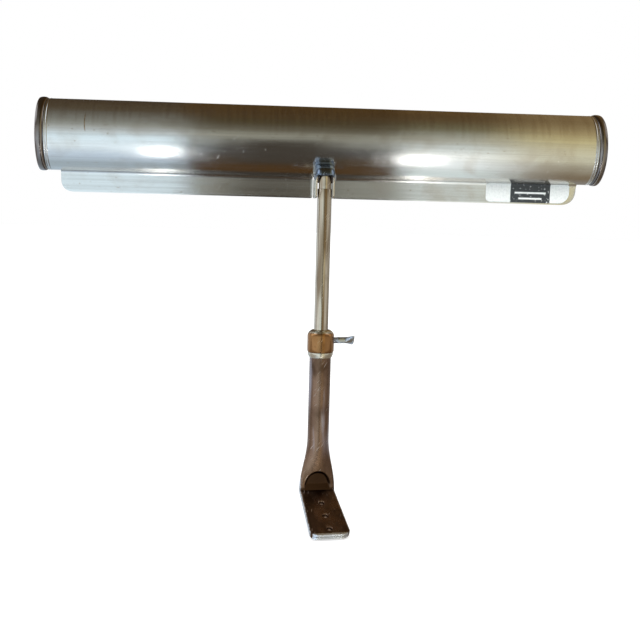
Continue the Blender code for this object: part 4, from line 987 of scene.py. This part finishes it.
def section(flatness, round_radius, half_width, half_thickness):
    """Points between a circle (flatness 0) and a flat band with round edges (flatness 1)."""
    arc_steps, flat_steps = 16, 64
    band = []
    reach = half_width - half_thickness
    for side in (1, -1):
        for i in range(arc_steps + 1):
            angle = math.radians(-90.0 + 180.0 * i / arc_steps)
            band.append((side * (reach + half_thickness * math.cos(angle)),
                         side * half_thickness * math.sin(angle)))
        for i in range(1, flat_steps):
            band.append((side * reach * (1 - 2 * i / flat_steps), side * half_thickness))
    count = len(band)
    points = []
    for i, (across, depth) in enumerate(band):
        angle = 2 * math.pi * (i - arc_steps / 2) / count
        points.append((round_radius * math.cos(angle) * (1 - flatness) + across * flatness,
                       round_radius * math.sin(angle) * (1 - flatness) + depth * flatness))
    return points


def pressed_in(across, height):
    """How far the front wall is pushed back, inside an arch above the fold."""
    if not -1.0 < height < PRESS_TOP:
        return 0.0
    reach = PRESS_HALF_WIDTH * math.sqrt(max(0.0, 1.0 - (max(height, 0.0) / PRESS_TOP) ** 2))
    top = PRESS_TOP * math.sqrt(max(0.0, 1.0 - (across / PRESS_HALF_WIDTH) ** 2)) - max(height, 0.0)
    edge = min(max(min(reach - abs(across), top) / 2.0, 0.0), 1.0)
    edge = edge * edge * (3 - 2 * edge)
    return PRESS_DEPTH * edge * min(max(height, 0.0) / 4.0, 1.0)


def tube_skin(wall, half_thickness):
    """Rings of the outer tube from its top to the end of its foot, set in by a wall thickness."""
    rings = []

    def ring_at(origin, back, flatness, height, half_width=FOOT_HALF_WIDTH):
        points = []
        for across, depth in section(flatness, OUTER_RADIUS - wall, half_width - 1.5 * wall, half_thickness):
            if depth < 0.0:
                depth += pressed_in(across, height) * (0.2 if wall else 1.0)
            points.append(origin + Vector((across, 0, 0)) + back * depth)
        rings.append(points)

    upright = Vector((0, 1, 0))
    for height in [OUTER_TOP - 6.0 * i for i in range(13)]:
        ring_at(Vector((0, 0, height)), upright, 0.0, height)
    rows = 110
    for i in range(rows + 1):
        height = FLATTEN_TOP * (1 - i / rows) + 0.02
        share = 1 - height / FLATTEN_TOP
        flatness = share * share * (3 - 2 * share)
        ring_at(Vector((0, 0, height)), upright, flatness, height)
    bend_steps = 16
    for i in range(1, bend_steps + 1):
        angle = BEND * i / bend_steps
        back = Vector((0, math.cos(angle), -math.sin(angle)))
        ring_at(Vector((0, FOLD_CENTRE_Y, 0)) - back * FOLD_CENTRE_Y, back, 1.0, -2.0)
    centre = Vector((0, FOLD_CENTRE_Y, 0)) + FOOT_NORMAL * FOLD_CENTRE_Y
    for i in range(1, 25):
        share = i / 24
        width = FOOT_HALF_WIDTH + (FOOT_END_HALF_WIDTH - FOOT_HALF_WIDTH) * share
        ring_at(centre + FOOT_ALONG * FOOT_LENGTH * share, -FOOT_NORMAL, 1.0, -2.0, width)
    return rings


def make_outer_tube():
    outside = tube_skin(0.0, FOOT_HALF_THICKNESS)
    inside = tube_skin(OUTER_WALL, 0.16)
    mesh = loft("foot_tube", outside + inside[::-1], True, 50.0)
    to_foot = Matrix.Rotation(math.pi / 2 - BEND, 4, "X")
    cutters = []
    for distance in FOOT_HOLES:
        place = Matrix.Translation((FOOT_START + FOOT_ALONG * distance) * MM) @ to_foot
        mouth = FOOT_HOLE_RADIUS + 0.55
        profile = [(mouth, 3.0), (mouth, 0.0), (FOOT_HOLE_RADIUS, -0.5), (FOOT_HOLE_RADIUS, -9.0)]
        cutters.append((lathe("foot_hole", profile, 40, closed=False), place))
    end = Matrix.Translation((FOOT_START + FOOT_ALONG * FOOT_LENGTH) * MM) @ to_foot
    for side, reach in ((1, 7.0), (-1, 6.0)):
        edge = FOOT_END_HALF_WIDTH + 0.05
        outline = [(side * across, up) for across, up in arc((edge - reach, reach), reach, -90.0, 0.0, 14)]
        outline += [(side * (edge + 2.0), reach), (side * (edge + 2.0), -2.0), (side * (edge - reach), -2.0)]
        cutters.append((plate("foot_corner", outline, 20.0), end))
    screw_hole = lathe("tube_hole", [(SCREW_RADIUS + 0.3, 12.0), (SCREW_RADIUS + 0.3, 3.0)], 24, closed=False)
    cutters.append((screw_hole, AT_FOOT.inverted() @ AT_SCREW))
    piece("foot_tube", cut(mesh, cutters, 50.0), AT_FOOT, "mount_arm", FOOT_METAL, "outer_tube")


# ---- lamp holders and bulbs --------------------------------------------------------------------
def outward(degrees):
    """Turns Z away from the shade's axis, at an angle about it."""
    return Matrix.Rotation(math.radians(90.0 - degrees), 4, "X")


def make_wall_fixings():
    """Four rivets and the wires' bushing, through the hood's saddle, the shade and the bracket inside."""
    outside = SHADE_RADIUS + HOOD_GAP + HOOD_WEB + 0.1
    inside = BRACKET_RADIUS - 0.1
    head, shank = 2.0, 1.2
    half = [(head * math.sin(math.radians(a)), 0.85 * math.cos(math.radians(a)))
            for a in (8, 25, 42, 58, 72, 84)]
    profile = [(r, outside + h) for r, h in half]
    profile += [(head, outside), (shank, outside - 0.05), (shank, inside), (head, inside)]
    profile += [(r, inside - h) for r, h in reversed(half)]
    for row, degrees in zip(("upper", "lower"), RIVET_ANGLES):
        for name, side in SIDES.items():
            place = AT_SHADE @ Matrix.Translation((side * RIVET_SIDE * MM, 0, 0)) @ outward(degrees)
            piece("rivet_%s_%s_domed" % (row, name), lathe("rivet", profile, 32, False), place, "shade",
                  SCREW_STEEL, "hood_rivet_%s_%s" % (row, name))
    profile = [(1.75, outside + 0.2), (2.5, outside), (2.5, inside), (3.3, inside), (3.3, inside - 0.8),
               (1.75, inside - 0.8)]
    turned("wire_bushing_moulded", rounded(profile, 0.2), AT_SHADE @ outward(WIRE_ANGLE), "shade", BLACK_PVC,
           "wire_bushing", 40)


def thread(depth, start, end):
    """A rounded screw thread on a turned skin, fading out at both ends."""
    def swell(radius, height, angle):
        if not start < height < end or radius < 8.0:
            return 0.0
        fade = min(1.0, (height - start) / 1.5, (end - height) / 1.5)
        return depth * fade * math.sin(2 * math.pi * height / THREAD_PITCH - angle)
    return swell


def make_holder(name, side):
    """A phenolic cup with two screw holes in its floor, a threaded shell and a contact."""
    turn = AT_BULBS @ TO_X[side]
    floor = SOCKET_START + SOCKET_FLOOR
    profile = [(0.01, floor), (SOCKET_BORE, floor), (SOCKET_BORE, SOCKET_END - 0.7),
               (SOCKET_BORE + 0.5, SOCKET_END), (SOCKET_RADIUS - 0.7, SOCKET_END),
               (SOCKET_RADIUS - 0.1, SOCKET_END - 0.5),
               (SOCKET_RADIUS, SOCKET_END - 1.2), (SOCKET_RADIUS, SOCKET_END - 5.6),
               (SOCKET_RADIUS - 0.45, SOCKET_END - 6.1), (SOCKET_RADIUS - 0.45, SOCKET_END - 7.1),
               (SOCKET_RADIUS, SOCKET_END - 7.6), (SOCKET_RADIUS, 13.0), (SOCKET_RADIUS - 0.4, 12.4),
               (SOCKET_RADIUS - 0.4, 5.0), (SOCKET_RADIUS - 0.6, SOCKET_START + 1.6),
               (SOCKET_RADIUS - 2.0, SOCKET_START), (0.01, SOCKET_START)]
    holes = [(lathe("cup_hole", [(1.7, 8.0), (1.7, -3.0)], 24, closed=False),
              Matrix.Translation((0, offset * MM, 0))) for offset in (9.0, -9.0)]
    mesh = cut(lathe("lamp_holder_" + name, profile, 96, closed=False), holes)
    piece("lamp_holder_" + name, mesh, turn, "shade", PHENOLIC, "socket_cup_" + name)

    start, end = floor + 1.2, SOCKET_END - 1.2
    rows = 90
    outer = SOCKET_BORE - 0.55
    heights = [end - (end - start) * i / rows for i in range(rows + 1)]
    profile = [(outer, h) for h in heights] + [(outer - SHELL_SHEET, h) for h in reversed(heights)]
    turned("screw_shell_" + name, profile, turn, "shade", BRASS, "socket_shell_" + name, 72,
           swell=thread(0.38, start - 1.0, end))
    refined("socket_contact_" + name, "shade", BRASS)


def make_bulb(name, side):
    """A clear tubular lamp: threaded base, black glass insulator, stem with supports, hairpin filament."""
    turn = AT_BULBS @ TO_X[side]
    tip, start, end = 6.9, 10.6, 34.5
    rows = 70
    heights = [end - 1.2 - (end - start - 3.4) * i / rows for i in range(rows + 1)]
    outer = BASE_RADIUS - SHELL_SHEET
    profile = [(outer - 1.1, end), (outer - 0.2, end), (outer + 0.1, end - 0.5)]
    profile += [(outer, h) for h in heights]
    profile += [(outer - 1.0, start + 0.9), (outer - 3.2, start + 0.2), (7.6, start - 0.2),
                (7.4, start + 0.3), (outer - 3.0, start + 0.7), (outer - 1.2, start + 1.6)]
    profile += [(outer - SHELL_SHEET, h) for h in reversed(heights)]
    turned("bulb_cap_" + name, profile, turn, "shade", BRASS, "bulb_base_" + name, 72,
           swell=thread(0.34, start + 2.4, end - 1.3))
    insulator = [(0.01, start + 0.2), (7.5, start + 0.1), (7.6, start - 0.3), (6.4, start - 1.6),
                 (5.0, tip + 0.9), (4.6, tip + 0.8), (0.01, tip + 0.8)]
    turned("bulb_insulator_" + name, insulator, turn, "shade", BLACK_GLASS, steps=48, closed=False)
    contact = [(0.01, tip), (2.2, tip + 0.02), (3.6, tip + 0.2), (4.3, tip + 0.6), (4.4, tip + 0.85),
               (0.01, tip + 0.95)]
    turned("bulb_contact_" + name, contact, turn, "shade", BRASS, steps=40, closed=False)

    neck = end - 4.0
    shoulder = neck + 13.0
    half = 11.9
    outline = [(half, neck), (half, neck + 5.0)]
    outline += eased_corner((half + 0.1, neck + 6.0), (BULB_RADIUS, shoulder - 2.5),
                            (BULB_RADIUS, shoulder + 3.0), 14)
    nose = BULB_END - 15.0
    outline += [(BULB_RADIUS, shoulder + 3.0 + (nose - shoulder - 3.0) * i / 10) for i in range(1, 10)]
    outline += [(BULB_RADIUS * math.cos(math.radians(a)), nose + 15.0 * math.sin(math.radians(a)))
                for a in (*range(0, 90, 5), 88)]
    outline.append((0.01, BULB_END))
    wall = 0.7
    inside = [(max(r - wall, 0.01), min(h, BULB_END - wall)) for r, h in outline]
    turned("bulb_envelope_" + name, outline + inside[::-1], turn, "shade", GLASS, "bulb_glass_" + name, 72)

    stem_top = neck + 22.0
    stem = [(0.01, stem_top), (1.2, stem_top), (1.8, stem_top - 0.8), (1.8, stem_top - 2.5),
            (2.4, stem_top - 4.5), (2.6, neck + 10.0), (3.2, neck + 6.5), (5.4, neck + 3.2),
            (8.6, neck + 1.4), (8.6, neck + 0.7),
            (4.8, neck + 0.7), (0.01, neck + 0.7)]
    turned("bulb_mount_" + name, stem, turn, "shade", GLASS, "bulb_stem_" + name, 40, False)

    make_filament(name, turn, stem_top, stem_top + 62.0)


def make_filament(name, turn, low, high):
    """A coiled hairpin between two heights, on two short supports and one long one."""
    path = []
    turns = 150
    legs = [Vector((x, 0, z)) for x, z in ((1.1, low), (5.0, low + 6), (5.0, high), (0, high + 4),
                                           (-5.0, high), (-5.0, low + 6), (-1.1, low))]
    total = sum((b - a).length for a, b in zip(legs, legs[1:]))
    count = turns * 8
    for i in range(count + 1):
        along = total * i / count
        for a, b in zip(legs, legs[1:]):
            length = (b - a).length
            if along <= length or b is legs[-1]:
                break
            along -= length
        direction = (b - a).normalized()
        across = direction.cross(Vector((0, 1, 0))).normalized()
        angle = 2 * math.pi * turns * i / count
        beside = across * 0.26 * math.cos(angle) + Vector((0, 0.26 * math.sin(angle), 0))
        path.append(a + direction * along + beside)
    coil = "bulb_filament_coil_" + name
    piece(coil, wire_mesh(coil, path, 0.09, 5), turn, "shade", TUNGSTEN, "bulb_filament_" + name)
    supports = [[(side * 1.0, 0.0, low - 6.0), (side * 1.3, 0.3, low + 1.0), (side * 4.7, 0.3, low + 5.6),
                 (side * 5.2, 0.1, low + 6.4)] for side in (1, -1)]
    supports.append([(0.0, 0.0, low - 6.0), (0.0, 0.0, high - 6.0), (0.0, 0.4, high + 3.0),
                     (0.0, 0.0, high + 4.6)])
    for number, route in enumerate(supports):
        label = "bulb_support_%s_%d" % (name, number + 1)
        mesh = wire_mesh(label, smoothed(route, 6), 0.22, 8)
        piece(label, mesh, turn, "shade", SCREW_STEEL)


def make_leads():
    """Two wires from the bushing to the lamp holders."""
    inward = -Vector((0, *wall_point(1.0, WIRE_ANGLE)))
    start = inward * -LEAD_START
    centre = Vector((0, *BULB_PLACE))
    entry = SOCKET_START + SOCKET_FLOOR / 2
    for side, name, look in ((-1, "black", BLACK_PVC), (1, "white", WHITE_PVC)):
        first = start + Vector((side * 0.95, 0, 0))
        last = centre - inward * 14.0 + Vector((side * entry, 0, 0))
        route = [first, first + inward * 3.6, last - inward * 5.0 + Vector((side * 0.1, 0, 0)), last]
        mesh = wire_mesh("lead_" + name, smoothed(route, 8), LEAD_RADIUS, 16)
        piece("lead_%s_flexible" % name, mesh, AT_SHADE, "shade", look, "lead_wire_" + name)


def make_small_parts():
    for name in ("front", "back"):
        refined("socket_screw_" + name, "shade", SCREW_STEEL, 0.15)
        refined("socket_nut_" + name, "shade", BRASS, 0.15)
    for name in SIDES:
        refined("friction_washer_" + name, "shade", FIBRE, 0.08)
    refined("socket_bracket", "shade", SCREW_STEEL, 0.2)


# ---- floor, lights and room --------------------------------------------------------------------
def unseen(made, *ways):
    for way in ways:
        setattr(made, "visible_" + way, False)


def make_stage():
    low, _ = cad_box
    work = bmesh.new()
    bmesh.ops.create_circle(work, cap_ends=True, segments=96, radius=9000.0)
    floor = linked("floor", mesh_of(work, "floor"), Matrix.Translation((0.0, 0.0, low.z - 1.5 * MM)))
    floor.data.materials.append(floor_look().material)
    unseen(floor, "glossy", "diffuse", "transmission", "shadow")


def make_sun():
    """A very soft sun, for what isn't metal: the metal mirrors the room instead."""
    data = bpy.data.lights.new("soft_sun", "SUN")
    data.energy = 4.0
    data.color = (0.97, 0.985, 1.0)
    data.angle = math.radians(60.0)
    sun = linked("soft_sun", data)
    sun.rotation_euler = (math.radians(42.0), math.radians(-14.0), 0.0)
    unseen(sun, "glossy")


# What the metal mirrors: linear colours at angles up from the front (-Y) over the top, in degrees.
ROOM_DARK = {-180: (0.10, 0.09, 0.075), -147: (0.080, 0.046, 0.016), -107: (0.100, 0.048, 0.012),
             -67: (0.085, 0.052, 0.024), -35: (0.095, 0.092, 0.090), -7: (0.340, 0.345, 0.310),
             13: (0.440, 0.440, 0.370), 33: (0.165, 0.145, 0.100), 53: (0.100, 0.076, 0.036),
             93: (0.105, 0.062, 0.024), 153: (0.100, 0.054, 0.016), 180: (0.30, 0.28, 0.25)}
ROOM_LEFT = {-180: (0.62, 0.70, 0.78), -147: (0.60, 0.74, 0.88), -107: (0.50, 0.61, 0.70),
             -67: (0.78, 0.95, 1.16), -35: (1.20, 1.40, 1.56), -7: (1.10, 1.34, 1.52),
             13: (0.72, 0.79, 0.82), 33: (0.41, 0.43, 0.39), 53: (0.25, 0.25, 0.22),
             93: (0.110, 0.080, 0.046), 153: (0.080, 0.054, 0.032), 180: (0.30, 0.32, 0.32)}
ROOM_RIGHT = {-180: (0.80, 0.84, 0.86), -147: (1.15, 1.32, 1.46), -107: (0.98, 1.12, 1.15),
              -67: (1.20, 1.30, 1.36), -35: (1.42, 1.50, 1.50), -7: (0.86, 0.95, 0.96),
              13: (0.63, 0.64, 0.55), 33: (0.42, 0.43, 0.36), 53: (0.20, 0.18, 0.10),
              93: (0.140, 0.088, 0.038), 153: (0.146, 0.084, 0.030), 180: (0.30, 0.30, 0.28)}
ROOM_FAR = {-180: (0.32, 0.30, 0.27), -147: (0.32, 0.30, 0.27), -107: (0.28, 0.21, 0.13),
            -67: (0.50, 0.46, 0.36), -35: (0.90, 0.88, 0.68), -7: (0.90, 0.85, 0.60),
            13: (0.82, 0.74, 0.44), 33: (0.72, 0.62, 0.32), 53: (0.50, 0.39, 0.20),
            93: (0.30, 0.21, 0.10), 153: (0.27, 0.18, 0.085), 180: (0.28, 0.25, 0.20)}
ROOM_SIDE = {-180: (0.55, 0.57, 0.60), -120: (0.30, 0.27, 0.24), -60: (0.34, 0.31, 0.28),
             -20: (0.70, 0.72, 0.74), 10: (0.55, 0.54, 0.50), 35: (0.22, 0.19, 0.16),
             62: (0.95, 0.96, 0.98), 105: (1.15, 1.15, 1.12), 125: (0.24, 0.20, 0.17),
             160: (0.60, 0.60, 0.58), 180: (0.55, 0.57, 0.60)}
# Each table takes over from the one before it between two places across; the last one to both sides.
LEFT_TO_DARK = (-0.064, -0.045)
DARK_TO_RIGHT = (0.127, 0.151)
RIGHT_TO_FAR = (0.19, 0.28)
FAR_TO_SIDE = (0.38, 0.62)
WINDOW_SIDE = (1.5, 1.65, 1.85)     # how much brighter the left side is than the right
PATCH_PLACE = (0.030, -40.0)        # a dark patch before the light: across, and its angle
PATCH_WIDTHS = (0.062, 0.026)       # where it starts and where it's full
PATCH_ANGLES = (46.0, 36.8)
PATCH_COLOUR = (0.036, 0.030, 0.024)
LAMPS = ((-0.076, -50.5, (8.4, 8.7, 9.0)), (0.155, -53.0, (10.0, 10.0, 10.0)))   # across, angle, colour
LAMP_WIDTHS = (0.011, 0.003)
LAMP_ANGLES = (22.0, 6.0)
WHITE = (1.0, 1.0, 1.0)


class Room(Nodes):
    """The surroundings, built from the direction looked in: x across, and the angle up from the front."""

    def __init__(self):
        world = bpy.data.worlds.new("room")
        bpy.context.scene.world = world
        world.use_nodes = True
        self.tree = world.node_tree
        direction = self.new("ShaderNodeTexCoord", {}).outputs["Generated"]
        split = self.new("ShaderNodeSeparateXYZ", {0: direction}).outputs
        self.across = split["X"]
        angle = self.math("ARCTAN2", split["Z"], self.times(split["Y"], -1.0))
        self.turn = self.math("MULTIPLY_ADD", angle, 0.5 / math.pi, 0.5)

    def ramp(self, stops):
        """Colours by angle. A ramp holds values up to 1, so they're halved here and doubled in paint()."""
        made = self.new("ShaderNodeValToRGB", {0: self.turn})
        made.color_ramp.interpolation = "EASE"
        elements = made.color_ramp.elements
        while len(elements) < len(stops):
            elements.new(0.5)
        for element, (degrees, colour) in zip(elements, sorted(stops.items())):
            element.position = degrees / 360.0 + 0.5
            element.color = (*scaled(colour, 0.5), 1.0)
        return made.outputs[0]

    def spot(self, place, angle, widths, angles):
        """A soft rectangle about a direction."""
        above = self.gap(self.turn, angle / 360.0 + 0.5)
        return self.times(self.ranged(self.gap(self.across, place), *widths),
                          self.ranged(above, *(a / 360.0 for a in angles)))

    def paint(self):
        tone = self.mix(self.ranged(self.across, *LEFT_TO_DARK), self.ramp(ROOM_LEFT), self.ramp(ROOM_DARK))
        tone = self.mix(self.spot(*PATCH_PLACE, PATCH_WIDTHS, PATCH_ANGLES), tone, PATCH_COLOUR)
        tone = self.mix(self.ranged(self.across, *DARK_TO_RIGHT), tone, self.ramp(ROOM_RIGHT))
        tone = self.mix(self.ranged(self.across, *RIGHT_TO_FAR), tone, self.ramp(ROOM_FAR))
        aside = self.math("ABSOLUTE", self.across)
        tone = self.mix(self.ranged(aside, *FAR_TO_SIDE), tone, self.ramp(ROOM_SIDE))
        left = self.ranged(self.times(self.across, -1.0), *FAR_TO_SIDE)
        tone = self.mix(left, tone, WINDOW_SIDE, "MULTIPLY")
        for place, angle, colour in LAMPS:
            lamp = self.spot(place, angle, LAMP_WIDTHS, LAMP_ANGLES)
            tone = self.mix(lamp, tone, tuple(c / 2.0 for c in colour))
        tone = self.mix(1.0, tone, (2.0, 2.0, 2.0), "MULTIPLY")
        seen = self.new("ShaderNodeLightPath", {}).outputs["Is Camera Ray"]
        self.tree.links.new(self.mix(seen, tone, WHITE), self.tree.nodes["Background"].inputs[0])


make_camera()
make_shade()
make_end_caps()
make_label()
make_hood()
make_knuckle()
make_tilt_pin()
make_arm()
make_collar()
make_thumbscrew()
make_outer_tube()
make_wall_fixings()
for end_name, end_side in SIDES.items():
    make_holder(end_name, end_side)
    make_bulb(end_name, end_side)
make_leads()
make_small_parts()
make_stage()
make_sun()
Room().paint()
bpy.context.scene.view_settings.view_transform = "Standard"
